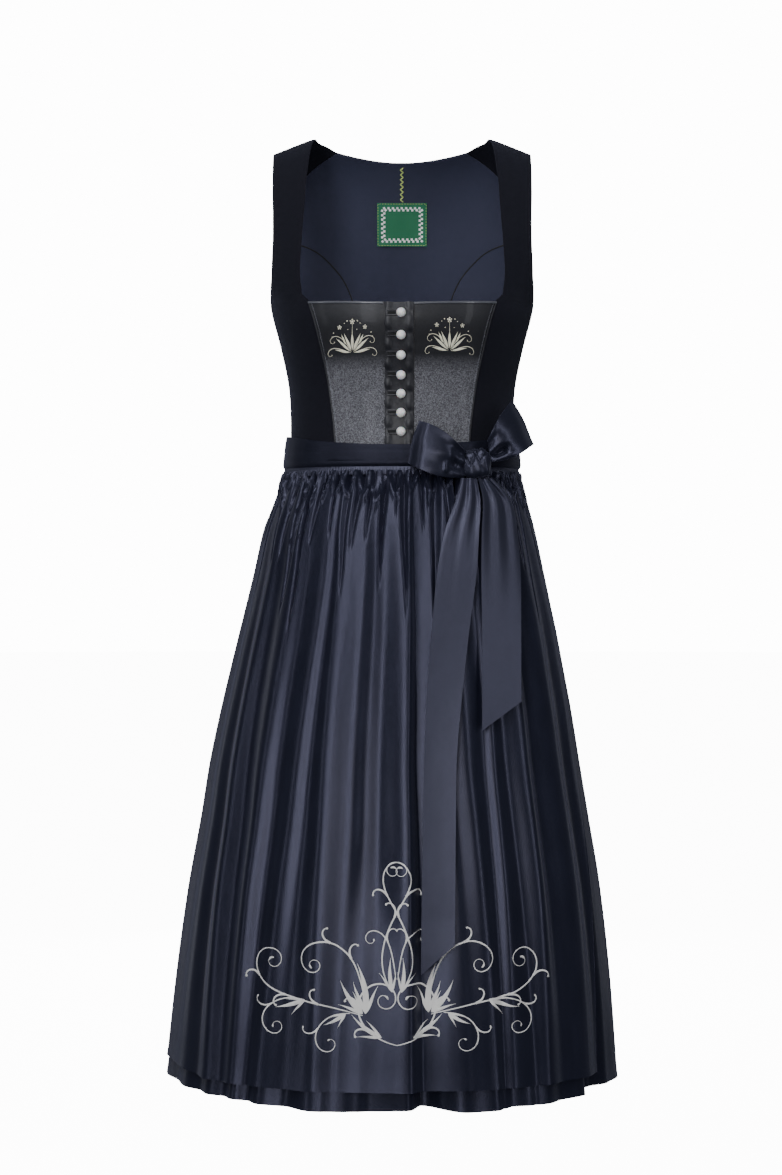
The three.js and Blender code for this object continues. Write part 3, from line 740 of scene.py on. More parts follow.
# %% Rows of the bodice's panels
SIDE = 999.0
LOWER_BACK_SEAM = [
    [386, 36], [350, 37], [312, 39], [275, 43], [248, 47.5], [225, 52], [206, 57],
]
FRONT_SIDE_ROWS = table("inner innerX outer outerX", [
    [386, 77, 386, SIDE], [350, 79.5, 350, SIDE], [312, 84, 312, SIDE], [275, 90.5, 275, SIDE],
    [248, 96.5, 248, SIDE], [225, 102.5, 225, SIDE], [206, 108.5, 206, SIDE],
    [202.8, 111.2, 202.2, 155.3], [199, 114.5, 196.8, 155.3], [196, 117, 191, 155],
    [180, 119, 170, 153], [140, 118, 135, 151.5], [95, 115, 92, 151.5],
    [52, 112.5, 52, 152.5], [20, 109, 22, 153], [5, 106, 6, 153.2], [-2, 101, -4, 153.2],
    [-6, 90, -22, 152.5], [-11, 79, -55, 150],
])
BACK_SIDE_ROWS = table("inner innerX outer outerX", [
    *[[-station, x, -station, SIDE] for station, x in LOWER_BACK_SEAM],
    [-200, 58.2, -204, 155.1], [-193, 59.7, -199.5, 154.4], [-182, 62, -189.5, 153.3],
    [-160, 72, -178, 154], [-142, 86.5, -160, 152.5],
    [-127, 103.5, -143, 151], [-117, 124, -128, 149.8], [-110, 147, -113, 148.8],
])
BACK_CENTRE_ROWS = table("middle outer outerX dip", [
    *[[-station, -station, x, 0] for station, x in LOWER_BACK_SEAM],
    [-178, -182, 62, 0], [-154, -160, 72, 0], [-132, -142, 86.5, 0], [-112, -127, 103.5, 0],
    [-94, -117, 124, 0], [-78, -110, 147, 2], [-64, -98, 148.5, 6], [-50, -84, 149.3, 12],
    [-36, -70, 149.8, 19], [-21, -55, 150, 24.7],
])
NECK_CORNER = 0.431
BIB_TOP, BIB_MEETS = 211.0, 8.0
print("rows:", len(FRONT_SIDE_ROWS["inner"]), len(BACK_SIDE_ROWS["inner"]))

# %% Panels' shapes


def by_row(**columns):
    count = len(next(iter(columns.values())))
    return {"row": np.arange(count, dtype=float), **columns}


def side_panel(rows, hand):
    """Shape of a half panel: s runs from its inner to its outer edge, t from the waist up."""
    edges = by_row(
        a=body_angle(rows["innerX"], rows["inner"]), b=body_angle(rows["outerX"], rows["outer"]),
        c=rows["inner"], d=rows["outer"],
    )
    last = len(rows["inner"]) - 1

    def shape(s, t):
        row = read(edges, "row", np.asarray(t) * last)
        station = lerp(row["c"], row["d"], s)
        return body_point(hand * lerp(row["a"], row["b"], s), station)

    return shape


def back_centre_shape(s, t):
    rows = BACK_CENTRE_ROWS
    edges = by_row(
        angle=body_angle(rows["outerX"], rows["outer"]), middle=rows["middle"],
        outer=rows["outer"], dip=rows["dip"],
    )
    row = read(edges, "row", np.asarray(t) * (len(rows["middle"]) - 1))
    half = np.abs(2 * s - 1)
    share = np.where(half < 0.5, half * 2 * NECK_CORNER, NECK_CORNER + (half - 0.5) * 2 * (1 - NECK_CORNER))
    rise = np.where(
        share < NECK_CORNER, (share / NECK_CORNER) ** 1.2, (1 - share) / (1 - NECK_CORNER)
    )
    station = lerp(row["middle"], row["outer"], share) + row["dip"] * rise
    return body_point(np.sign(2 * s - 1) * share * row["angle"], station)


def bib_rows():
    inner = FRONT_SIDE_ROWS["inner"][:7]
    return {
        "inner": np.maximum(inner, BIB_TOP), "innerX": np.full(7, BIB_MEETS),
        "outer": inner, "outerX": FRONT_SIDE_ROWS["innerX"][:7],
    }


def bib_shape(hand):
    rows = bib_rows()
    edges = by_row(
        a=body_angle(-hand * BIB_MEETS, rows["inner"]),
        b=body_angle(hand * rows["outerX"], rows["outer"]), c=rows["inner"], d=rows["outer"],
    )

    def shape(s, t):
        row = read(edges, "row", np.asarray(t) * 6)
        return body_point(lerp(row["a"], row["b"], s), lerp(row["c"], row["d"], s))

    return shape


print("bib top corner (mm):", bib_shape(1)(np.array([1.0]), np.array([1.0])).round(1)[0])

# %% Front and back panels
for side, hand in (("right", -1), ("left", 1)):
    front = cloth(
        f"front_panel_{side}", (40, 128), side_panel(FRONT_SIDE_ROWS, hand), (130, 480), 1.5,
        roll={"left": 0.5, "bottom": 0.3},
    )
    own(front, "bodice_cloth", BODICE_TWILL, f"front_side_{side}")
    back = cloth(
        f"back_side_panel_{side}", (44, 80), side_panel(BACK_SIDE_ROWS, hand), (118, 300), 1.5,
        roll={"left": 0.5, "top": 0.3},
    )
    own(back, "bodice_cloth", BODICE_TWILL, f"back_side_{side}")

middle = cloth(
    "back_middle_panel", (80, 96), back_centre_shape, (250, 370), 1.5,
    roll={"left": 0.5, "right": 0.5},
)
own(middle, "bodice_cloth", BODICE_TWILL, "back_centre")
print("bodice panels:", 5)

# %% [markdown]
# ## Lining and label
#
# The neckline shows the inside of the back: a smooth lining with two curved seams, a strip of
# hand stitching that runs down from the neck, and a woven label. The label is bare in its
# middle, with a border of two rows of checks.

# %% Lining panels
LINING_LIFT = -1.6
for side, hand in (("right", -1), ("left", 1)):
    lining = cloth(
        f"lining_panel_{side}", (40, 80), side_panel(BACK_SIDE_ROWS, hand), (118, 300), 1.0,
        lift=LINING_LIFT,
    )
    own(lining, "lining_cloth", LINING_WEAVE, f"lining_side_{side}")
lining = cloth("lining_middle_panel", (72, 84), back_centre_shape, (250, 370), 1.0, lift=LINING_LIFT)
own(lining, "lining_cloth", LINING_WEAVE, "lining_centre")
print("lining panels:", 3)


# %% Seams inside the back, drawn as lines of painted shade
def line_on(shape, s, t, lift, count=200):
    """Path and inward normals of a line on a back panel, lift mm inside the panel's face."""
    s, t = np.broadcast_arrays(np.asarray(s, float), np.asarray(t, float))
    both = resample(np.stack([s, t], axis=1), count)
    point, normal = surface_frame(shape, both[:, 0], both[:, 1])
    inward = np.where(np.sum(normal * (point - (0, 0, -300)) * (1, 1, 0), axis=1) > 0, -1.0, 1.0)
    normal = normal * inward[:, None]
    return point + normal * lift, normal


# Each seam is a thin near-black bead on the lining: painted shade, for the shade in the seam's groove.
seam_shade_models = []
for edge in (0.0, 1.0):
    path, normal = line_on(back_centre_shape, [edge] * 40, np.linspace(0.02, 0.70, 40), 1.7)
    seam_shade_models.append(bead(path, normal, np.full(len(path), 0.85), 0.5))
seams = joined("lining_seam_shade", seam_shade_models)
own(seams, "lining_cloth", PAINTED_SHADE)
print("lining seams:", len(seams.data.vertices), "points")

# %% Label
LABEL_RIGHT, LABEL_LEFT, LABEL_TOP, LABEL_BOTTOM = 30.4, 31.1, 65.0, 117.0


def label_shape(s, t):
    station = -lerp(LABEL_BOTTOM, LABEL_TOP, t)
    right, left = body_angle(-LABEL_RIGHT, station), body_angle(LABEL_LEFT, station)
    return body_point(lerp(right, left, s), station)


label = cloth("woven_label", (40, 34), label_shape, (61.5, 54), 0.8, lift=-3.4)
own(label, "label_weave", LABEL_WEAVE, "label")

CHECK = 2.7
for name, inset, start in (("outer", 0.115, 0.0), ("inner", 0.161, 1.0)):
    low, high = inset, 1 - inset
    middle = lerp(low, high, 0.5) + start * CHECK / 61.5
    corners = [(middle, low), (high, low), (high, high), (low, high), (low, low), (middle, low)]
    border_path, border_normal = line_on(
        label_shape, [c[0] for c in corners], [c[1] for c in corners], 3.5, 400
    )
    border = stitches(
        f"label_border_{name}", border_path, border_normal, CHECK, CHECK - 0.1, 0, model=square_tuft(CHECK)
    )
    own(border, "label_weave", WHITE_THREAD)
hem_path, hem_normal = line_on(
    label_shape, [0.02, 0.98, 0.98, 0.02, 0.02], [0.02, 0.02, 0.98, 0.98, 0.02], 3.45, 400
)
hem_stitch = stitches("label_hem_stitches", hem_path, hem_normal, 2.2, 1.2, 0.25)
own(hem_stitch, "label_weave", GREEN_THREAD)


def neck_strip_shape(s, t):
    station = -lerp(24.0, 65.0, t)
    return body_point(lerp(body_angle(-10, station), body_angle(10, station), s), station)


neck_path, neck_normal = line_on(neck_strip_shape, [0.5, 0.5], [0.02, 0.98], 1.8, 120)
herringbone = stitches("neck_herringbone", neck_path, neck_normal, 5.4, -2.4, 0.75, turn=50)
own(herringbone, "lining_cloth", GREEN_THREAD)
print("label:", LABEL_RIGHT + LABEL_LEFT, "mm wide")

# %% [markdown]
# ## Leather bib
#
# The bib is two leather panels under a placket. Its slanted sides are piped where they meet the
# cloth, with a fine topstitch beside the piping, and a glossy cord finishes the top edge. The cord
# is coloured much lighter than the leather: a painted highlight along the top. The placket is
# stitched down over padding, so it swells between the buttons and dips at them.

# %% Bib halves
BUTTON_X, BUTTON_FIRST, BUTTON_PITCH, BUTTON_RADIUS, BUTTON_COUNT = -1.7, -222.7, 22.4, 5.5, 7

for side, hand in (("right", -1), ("left", 1)):
    bib = cloth(
        f"bib_panel_{side}", (60, 104), bib_shape(hand), (104, 178), 1.4,
        roll={"right": 0.35, "top": 0.3} if hand > 0 else {"left": 0.35, "top": 0.3},
    )
    own(bib, "leather", BIB_LEATHER, f"bib_{side}")
print("bib halves:", 2)

# %% Placket with its swellings
PLACKET_FOOT, PLACKET_RIGHT, PLACKET_LEFT = 386.0, -20.0, 12.0


def placket_shape(s, t):
    station = lerp(PLACKET_FOOT, BIB_TOP, t)
    right, left = body_angle(PLACKET_RIGHT, station), body_angle(PLACKET_LEFT, station)
    return body_point(lerp(right, left, s), station)


def swelling(s, level):
    """How far the padded placket stands up between its two rows of stitching."""
    beat = np.cos(2 * np.pi * (level - BUTTON_FIRST) / BUTTON_PITCH)
    edge = np.exp(-(((0.5 - np.abs(s - 0.5)) - 0.13) / 0.10) ** 2)
    slant = 0.25 * np.sin(2 * np.pi * (level / BUTTON_PITCH * 2.0 + s * 1.7))
    return 0.25 + edge * (0.75 - 0.75 * beat + slant) - 0.35 * np.exp(-((s - 0.02) / 0.04) ** 2)


def padded_placket(s, t):
    point, normal = surface_frame(placket_shape, s, np.clip(t, 0.002, 0.998))
    return placket_shape(s, t) - normal * np.sign(normal[:, 1:2]) * swelling(s, point[:, 2])[:, None]


placket = cloth("button_placket_strip", (40, 200), padded_placket, (33, 178), 1.6, lift=1.8)
own(placket, "leather", PLACKET_LEATHER, "button_placket")
print("placket:", len(placket.data.polygons), "faces")

# %% Piping, topstitching and a painted shadow along the placket's edge
bib_pipes, bib_cords, bib_threads = [], [], []
for hand in (-1, 1):
    shape = bib_shape(hand)
    for t_edge, s_edge, width, rise in ((None, 0.997, 0.95, 1.7), (0.985, None, 1.35, 1.9)):
        run = np.linspace(0.0, 1.0, 60)
        s = run if s_edge is None else np.full(60, s_edge)
        t = run if t_edge is None else np.full(60, t_edge)
        point, normal = surface_frame(shape, s, np.clip(t, 0.003, 0.997))
        normal = facing_front(normal)
        path = point + normal * rise
        if s_edge is None:
            keep = np.abs(point[:, 0]) > (-PLACKET_RIGHT if hand < 0 else PLACKET_LEFT)
            path, normal = path[keep], normal[keep]
        pipe = bead(path, normal, np.full(len(path), width), 0.8, 8)
        (bib_pipes if t_edge is None else bib_cords).append(pipe)
        if t_edge is None:
            point, normal = surface_frame(shape, s - 0.035, np.clip(t, 0.003, 0.997))
            normal = facing_front(normal)
            bib_threads.append((point, normal))
piping = joined("bib_piping", bib_pipes)
own(piping, "leather", PLACKET_LEATHER)
# The top cord's light colour is painted highlight.
own(joined("bib_top_cord", bib_cords), "leather", CORD_PAINTED_HIGHLIGHT)
for name, (point, normal) in zip(("right", "left"), bib_threads):
    thread = stitches(f"bib_topstitch_{name}", point, normal, 1.9, 0.2, 0.24, turn=28, lift=1.5)
    own(thread, "leather", GREY_THREAD)
# A near-black bead just past the placket's edge is painted shadow, where the placket stands over the bib.
run = np.linspace(0.004, 0.996, 120)
point, normal = surface_frame(placket_shape, np.full(120, 1.012), run)
normal = facing_front(normal)
edge = joined("placket_edge_painted_shadow", [bead(point + normal * 2.2, normal, np.full(120, 1.15), 1.3, 8)])
own(edge, "leather", PAINTED_SHADE)
print("piping:", len(piping.data.polygons), "faces")


# %% Bound buttonholes
def on_placket(x, level, lift):
    """Place and axes (across, up, out) on the placket."""
    station = -level
    t = (PLACKET_FOOT - station) / (PLACKET_FOOT - BIB_TOP)
    right, left = body_angle(PLACKET_RIGHT, station), body_angle(PLACKET_LEFT, station)
    s = (body_angle(x, station) - right) / (left - right)
    point, normal = surface_frame(placket_shape, np.array([s]), np.array([t]))
    normal = normal[0] * (-1 if normal[0][1] > 0 else 1)
    across = unit(np.cross((0, 0, 1.0), normal) * -1)
    across = across * np.sign(across[0])
    return point[0] + normal * lift, across, np.cross(normal, across) * -1, normal


def lip_model():
    x = np.linspace(-8.6, 8.6, 13)
    plump = 1.15 * (1 - (np.abs(x) / 8.9) ** 6) ** 0.5
    return bead(np.stack([x, 0 * x, 0 * x], axis=1), np.tile([0, 0, 1.0], (13, 1)), plump, 0.75, 10)


lips, gaps = [], []
for i in range(BUTTON_COUNT):
    level = BUTTON_FIRST - i * BUTTON_PITCH
    for up in (-2.35, 2.35):
        lips.append(on_placket(-9.5, level + up, 3.9))
    gaps.append(on_placket(-9.5, level, 4.0))
buttonholes = stamp("bound_buttonholes", lip_model(), lips)
own(buttonholes, "leather", PLACKET_LEATHER)
# Near-black beads between the lips are painted shade in the openings of the buttonholes.
slit = bead(
    np.array([[-7.6, 0, 0], [0, 0, 0], [7.6, 0, 0.0]]), np.tile([0, 0, 1.0], (3, 1)),
    np.array([1.5, 1.7, 1.5]), 0.5, 8,
)
slit_shades = stamp("buttonhole_slit_shade", slit, gaps)
own(slit_shades, "leather", PAINTED_SHADE)
print("buttonholes:", BUTTON_COUNT)

# %% [markdown]
# ## Pearl buttons
#
# One pearl is made with care and copied: a ball with a slight seat, on a short shank that
# goes into its buttonhole. Each copy has its own mesh and stands on the placket's slope.

# %% Pearls
deselect()
bpy.ops.mesh.primitive_uv_sphere_add(segments=40, ring_count=24, radius=BUTTON_RADIUS * MM)
pearl_ball = bpy.context.object
bpy.ops.object.mode_set(mode="EDIT")
bpy.ops.mesh.select_all(action="DESELECT")
bpy.ops.object.mode_set(mode="OBJECT")
for face in pearl_ball.data.polygons:
    face.select = face.center.z < -0.95 * BUTTON_RADIUS * MM
bpy.ops.object.mode_set(mode="EDIT")
bpy.ops.mesh.extrude_region_move(TRANSFORM_OT_translate={"value": (0, 0, -1.6 * MM)})
bpy.ops.object.mode_set(mode="OBJECT")
pearl_points = coordinates(pearl_ball.data) / MM
pearl_ball.name = "pearl_pattern"


def place_pearl(number):
    level = BUTTON_FIRST - number * BUTTON_PITCH
    origin, across, up, out = on_placket(BUTTON_X, level, 3.4 + 0.6 + BUTTON_RADIUS)
    deselect()
    pearl = pearl_ball.copy()
    pearl.data = pearl_ball.data.copy()
    bpy.context.collection.objects.link(pearl)
    pearl.name = pearl.data.name = f"pearl_{number + 1}"
    side = np.cross(out, across)
    set_coordinates(pearl.data, (origin + pearl_points @ np.stack([across, side, out])) * MM)
    shade(pearl, 60)
    return own(pearl, "pearl", PEARL, f"button_{number + 1}")


pearls = [place_pearl(number) for number in range(BUTTON_COUNT)]
only(pearl_ball)
bpy.ops.object.delete()

# %% [markdown]
# ## Underskirt and apron
#
# A gathered skirt is a long rectangle pushed together at the waist. Its folds are listed by
# where each crest and trough starts at the waist and ends at the hem, in degrees from the middle
# of the front, and by how far it stands out at the hem. Between the lines the cloth runs in
# round waves. Near the waist narrow creases and small U-shaped puckers, as a gathering thread
# leaves them, lie over these folds. They are made by formulas, with a fixed seed, and not by a
# simulation, because the places of the big folds are known.

# %% Folds of the skirts
WAIST, SKIRT_HEM, APRON_TOP, APRON_HEM = -386.0, -1119.6, -402.4, -1097.5
SATIN, APRON_EASE, UNDER_APRON = 1.2, 4.6, 0.6
# The apron's side edges, as places in the list of folds. The left one nears the front at the hem.
APRON_RIGHT, APRON_LEFT, APRON_LEFT_HEM = 1.2, 27.3, 25.05

FRONT_FOLDS = [
    [-95, -95, 0, 0, -6], [-86, -80, 2, 3, -6], [-77, -71, -3, -2, -6], [-70, -62, 2, 4, -5],
    [-65, -55.5, -2, -1, -5], [-60, -50.5, 3, 10, -4], [-53.5, -45.5, -3, -3, -4],
    [-43, -41.3, 4, 10, -4], [-35.5, -37.7, -4, -4, -3], [-26.8, -33.5, 2, 5, -2],
    [-24.6, -26.9, -6, -2, -1], [-22.4, -18.6, 6, 9, 0], [-12.5, -13.5, 4, -1, 0],
    [-8.5, -8.3, -2, -11, 0], [-5.6, -5.2, -6, -13, 0], [2.0, 3.7, -8, 5, 0], [3.9, 7.8, -36, -24, 0],
    [13, 19, -7, -4, 4], [16.5, 25.5, 3, 4, 2], [25.2, 27.8, 0, -4, 1], [28.3, 30.2, -2, 5, 0],
    [30.2, 36.3, 4, 0, 0], [39, 40, 6, 15, 0], [43, 46, -1, 0, 0], [54.5, 54.5, 2, 9.5, 0],
    [62, 61.5, -24, -4, 0], [69, 66.5, -18, 3, 0], [78, 74, -4, -3, 0], [85, 84, 3, 4, 0],
    [95, 95, 0, 0, 0],
]


def back_folds(count=22):
    folds = []
    for i in range(1, count):
        angle = 95 + 170 * i / count + 1.6 * math.sin(i * 2.3)
        depth = (1 if i % 2 else -1) * (8.5 + 2.5 * math.sin(i * 1.7))
        folds.append([angle, angle, depth, depth, -6.0 * i / count])
    return folds


FOLDS = table("waist hem skirt apron drop", FRONT_FOLDS + back_folds())
FOLD_COUNT = len(FOLDS["waist"])
LEFT_SEAM, RIGHT_SEAM = len(FRONT_FOLDS) - 1, FOLD_COUNT


def fold_line(place):
    """The line of cloth at a place in the list of folds, which closes round the skirt."""
    index = np.floor(place).astype(int)
    f = place - index
    line = {}
    for name, column in FOLDS.items():
        angle = name in ("waist", "hem")
        ends = [
            column[i % FOLD_COUNT] + (360.0 * (i // FOLD_COUNT) if angle else 0)
            for i in (index, index + 1)
        ]
        line[name] = lerp(*ends, f if angle else f * f * (3 - 2 * f))
    return line


print("folds:", FOLD_COUNT)


# %% Gathers
def marks_round(seed, first, last, spacing, *ranges):
    """Marks side by side round the waist: the angle of each, and a value from each range."""
    random = np.random.default_rng(seed)
    marks, at = [], first
    while at < last:
        marks.append((at, *(random.uniform(*limits) for limits in ranges)))
        at += spacing * random.uniform(0.6, 1.4)
    return marks


def crease_depth(creases, angle, below):
    """Narrow creases from the band down, each to a point: half width, depth, length and lean."""
    depth = np.zeros(np.broadcast(angle, below).shape)
    for centre, width, deep, length, lean in creases:
        left = np.clip(1 - below / length, 0, 1)
        across = (angle - centre - lean * below / 100) / (width * (0.35 + left))
        shape = np.clip(1 - across**2, 0, None) ** 1.3
        depth = np.maximum(depth, deep * left**0.7 * shape * smooth(below, -8, 4))
    return depth


def pucker_height(puckers, angle, below):
    """Small hollows under the band, each with a raised rim that closes to a U at its foot."""
    height = np.zeros(np.broadcast(angle, below).shape)
    for centre, width, length, rim, lean in puckers:
        down = (below - 0.40 * length) / (0.60 * length)
        across = (angle - centre - lean * below / 20) / (width * (1 - 0.35 * np.clip(down, -1, 1.3)))
        away = np.hypot(across, np.where(down > 0, down, 0.4 * down))
        height += rim * (np.exp(-(((away - 1) / 0.30) ** 2)) - 1.3 * np.exp(-((away / 0.62) ** 4)))
    return height * smooth(below, -6, 5)


LONG_CREASES = {
    "apron": marks_round(37, -84, 80, 5.6, (1.2, 2.3), (4.8, 8.2), (50, 200), (-3, 3)),
    "skirt": marks_round(41, -180, 180, 4.8, (1.1, 2.0), (3.5, 6.5), (70, 230), (-4, 4)),
}
FINE_CREASES = {
    "apron": marks_round(11, -83, 80, 5.4, (0.7, 1.2), (2.0, 3.8), (20, 60), (-3, 5)),
    "skirt": marks_round(23, -180, 180, 4.2, (0.7, 1.1), (2.0, 3.6), (20, 60), (-5, 5)),
}
PUCKERS = {
    "apron": marks_round(53, -80, 78, 6.4, (1.6, 3.0), (15, 38), (2.0, 3.4), (-1.3, 0.4)),
    "skirt": marks_round(59, -180, 180, 8.0, (1.3, 2.2), (14, 34), (1.0, 2.0), (-0.8, 0.8)),
}
print(
    "creases and puckers on the apron:",
    *(len(marks["apron"]) for marks in (LONG_CREASES, FINE_CREASES, PUCKERS)),
)


def gathers(layer, angle, below):
    """What the gathering thread does to the cloth: puffed at the band, creased further down."""
    front = np.cos(np.radians(angle)) ** 2
    puff = (1 + 3.5 * front) * np.exp(-((np.maximum(below, 0) / 70) ** 2)) * smooth(below, -8, 6)
    creases = np.maximum(
        crease_depth(LONG_CREASES[layer], angle, below), crease_depth(FINE_CREASES[layer], angle, below)
    )
    height = puff - creases + pucker_height(PUCKERS[layer], angle, below)
    if layer == "skirt":
        height = height * smooth(np.abs(angle), 74, 84)
    return height


def stand_out(layer, place, level):
    """How far the cloth stands out from the form's section, without its ease."""
    line = fold_line(place)
    down = np.clip((WAIST - level) / (WAIST - SKIRT_HEM), 0, 1)
    below = (APRON_TOP if layer == "apron" else -398.0) - level
    angle = (line["waist"] + 180) % 360 - 180
    grown = down**0.75
    if layer == "apron":
        still = 0.7 * smooth(down, 0.55, 0.85) * np.exp(-(((place - 13.6) / 1.3) ** 4))
        grown = grown * (1 - 0.54 * smooth(down, 0.55, 1.0)) * (1 - still)
    out = line[layer] * grown + gathers(layer, angle, below)
    if layer == "skirt":
        room = stand_out("apron", place, level) + APRON_EASE - SATIN - UNDER_APRON
        edge = read(APRON_EDGES, "level", level)["left"]
        covered = smooth(place, 0.9, 1.2) * (1 - smooth(place, edge, edge + 0.3))
        out = out - covered * np.maximum(out - room, 0)
    return out


def folded(layer, ease):
    def surface(place, level):
        line = fold_line(place)
        down = np.clip((WAIST - level) / (WAIST - SKIRT_HEM), 0, 1)
        angle = np.radians(lerp(line["waist"], line["hem"], down))
        over = 1.3 * smooth(level, -410, -404) if layer == "apron" else 0.0
        return section_point(level, angle, ease + over + stand_out(layer, place, level))

    return surface


skirt_surface, apron_surface = folded("skirt", 0.0), folded("apron", APRON_EASE)
hem_corner = apron_surface(np.array([APRON_LEFT_HEM]), np.array([APRON_HEM]))
print("apron's left edge at the hem (mm):", hem_corner.round()[0])


# %% Even spacing of the cloth's columns
def even_places(layer, first, last):
    """Places in the list of folds that are evenly spaced along the cloth, halfway down."""
    place = np.linspace(first, last, 2400)
    path = folded(layer, 0.0)(place, np.full(2400, -760.0))
    top = fold_line(place)["waist"]
    step = np.linalg.norm(np.diff(path, axis=0), axis=1) + 2.2 * np.abs(np.diff(top))
    length = np.concatenate([[0], np.cumsum(step)])
    return lambda s: np.interp(s, length / length[-1], place)


def denser_top(t, share=0.75):
    """Runs from 0 at the hem to 1 at the waist, with closer rows near the waist."""
    return lerp(t, 1 - (1 - t) ** 2.4, share)


def skirt_shape(first, last):
    places = even_places("skirt", first, last)

    def shape(s, t):
        place = places(s)
        hem = SKIRT_HEM - fold_line(place)["drop"]
        return skirt_surface(place, lerp(hem, WAIST, denser_top(t)))

    return shape


APRON_EDGES = table("level left", [
    [-405, APRON_LEFT], [-600, 26.75], [-800, 26.1], [-1098, APRON_LEFT_HEM],
])
APRON_PLACES = even_places("apron", APRON_RIGHT, APRON_LEFT)


def apron_shape(s, t):
    level = lerp(APRON_HEM, APRON_TOP, denser_top(t))
    place = APRON_PLACES(s)
    edge = read(APRON_EDGES, "level", level)["left"]
    place = np.where(place < 24, place, 24 + (place - 24) * (edge - 24) / 3.3)
    corner = 8 * np.clip(1 - (place - APRON_RIGHT) / 3.8, 0, 1)
    return apron_surface(place, level + corner * (1 - t) ** 30)


# %% Underskirt, front and back widths
for name, first, last, grid, cut in (
    ("front", 0, LEFT_SEAM, (360, 90), (0.90, 0.735)),
    ("back", LEFT_SEAM, RIGHT_SEAM, (340, 90), (0.82, 0.737)),
):
    width = cloth(
        f"underskirt_{name}", grid, skirt_shape(first, last), (cut[0] / MM, cut[1] / MM), SATIN,
        roll={"bottom": -0.5, "left": 0.4, "right": 0.4},
    )
    own(width, "satin", SKIRT_SATIN, f"skirt_{name}")
print("underskirt: cut 0.90 m wide in front and 0.82 m behind")

# %% Apron
apron = cloth(
    "apron_panel", (450, 100), apron_shape, (960, 695), SATIN,
    roll={"bottom": -0.6, "left": -0.4, "right": -0.4},
)
own(apron, "satin", SKIRT_SATIN, "apron")
print("apron:", len(apron.data.polygons), "faces")

# %% [markdown]
# ## Sash, waistband and bow
#
# The sash is a ribbon wound round the waist. It has creased along its middle, so it shows as an
# upper band and a narrow lower fold. The narrow waistband of the apron shows below it. The bow
# has two loops, each a strip that leaves the knot, turns round and comes back, with creases that
# run out of the knot.


# %% Sash and waistband
def sash_shape(s, t):
    angle = 2 * np.pi * s - np.pi
    forward = np.maximum(np.cos(angle), 0)
    top = -373 + 14.5 * (1 - forward**2) + 0.8 * np.sin(3 * angle + 1)
    crease = 0.25 + 0.03 * np.sin(2 * angle + 0.5)
    upper = np.sin(np.pi * np.clip((t - crease) / (1 - crease), 0, 1)) ** 0.6
    lower = np.sin(np.pi * np.clip(t / crease, 0, 1)) ** 0.6
    above = 4.0 + 3.4 * (1 - t) / (1 - crease) + 0.9 * upper
    out = np.where(t > crease, above, lerp(4.6, 6.6, t / crease) + 1.7 * lower)
    second = np.exp(-((t - 0.60 - 0.14 * np.sin(2.4 * angle + 2)) / 0.09) ** 2)
    drag = np.sin(23 * angle + 5 * t + 2 * np.sin(3 * angle)) * np.exp(-((t - crease) / 0.25) ** 2)
    out = out - 0.30 * second + 0.12 * drag
    return section_point(lerp(-397.0, top, t), angle, out)


sash = cloth("waist_sash", (400, 26), sash_shape, (790, 40), SATIN, ring=True)
own(sash, "satin", SASH_SATIN, "sash")


def waistband_shape(s, t):
    angle = np.radians(lerp(-84.0, 80.0, s))
    shirring = 0.5 * np.sin(260 * angle + 3 * np.sin(17 * angle)) * (1 - t)
    out = 4.2 + shirring + 1.3 * np.sin(np.pi * t) - 0.5 * (1 - t)
    return section_point(lerp(-407.0, -397.4, t), angle, out)


waistband = cloth("waistband", (600, 8), waistband_shape, (330, 9), 1.4)
own(waistband, "satin", TAIL_SATIN, "apron_waistband")
print("sash and waistband made")

# %% Bow loops
LOOPS = {
    "right": {
        "knot": (72, -105, -396, 15, 1), "outer": (12, -119, -370, 24.5, 7), "peak": 0.7, "roll": 6,
        "bulge": 6, "depth": 10, "creases": (2.4, 6.5, 0.4), "hand": -1, "flat": (150, 55),
        "dents": (
            (0.20, -0.22, 0.07, 0.30, 5.0), (0.34, -0.52, 0.05, 0.26, -2.4),
            (0.15, 0.30, 0.10, 0.5, 3.0),
        ),
    },
    "left": {
        "knot": (100.9, -101.5, -380, 12.5, -2), "outer": (142, -83, -345.5, 25.5, -13),
        "peak": 1.0, "roll": 3, "bulge": 5, "depth": 11, "creases": (1.6, 6.0, 1.9),
        "hand": 1, "flat": (130, 50),
        "dents": ((0.25, -0.44, 0.19, 0.26, 8.5), (0.34, -0.86, 0.22, 0.12, -2.0)),
    },
}


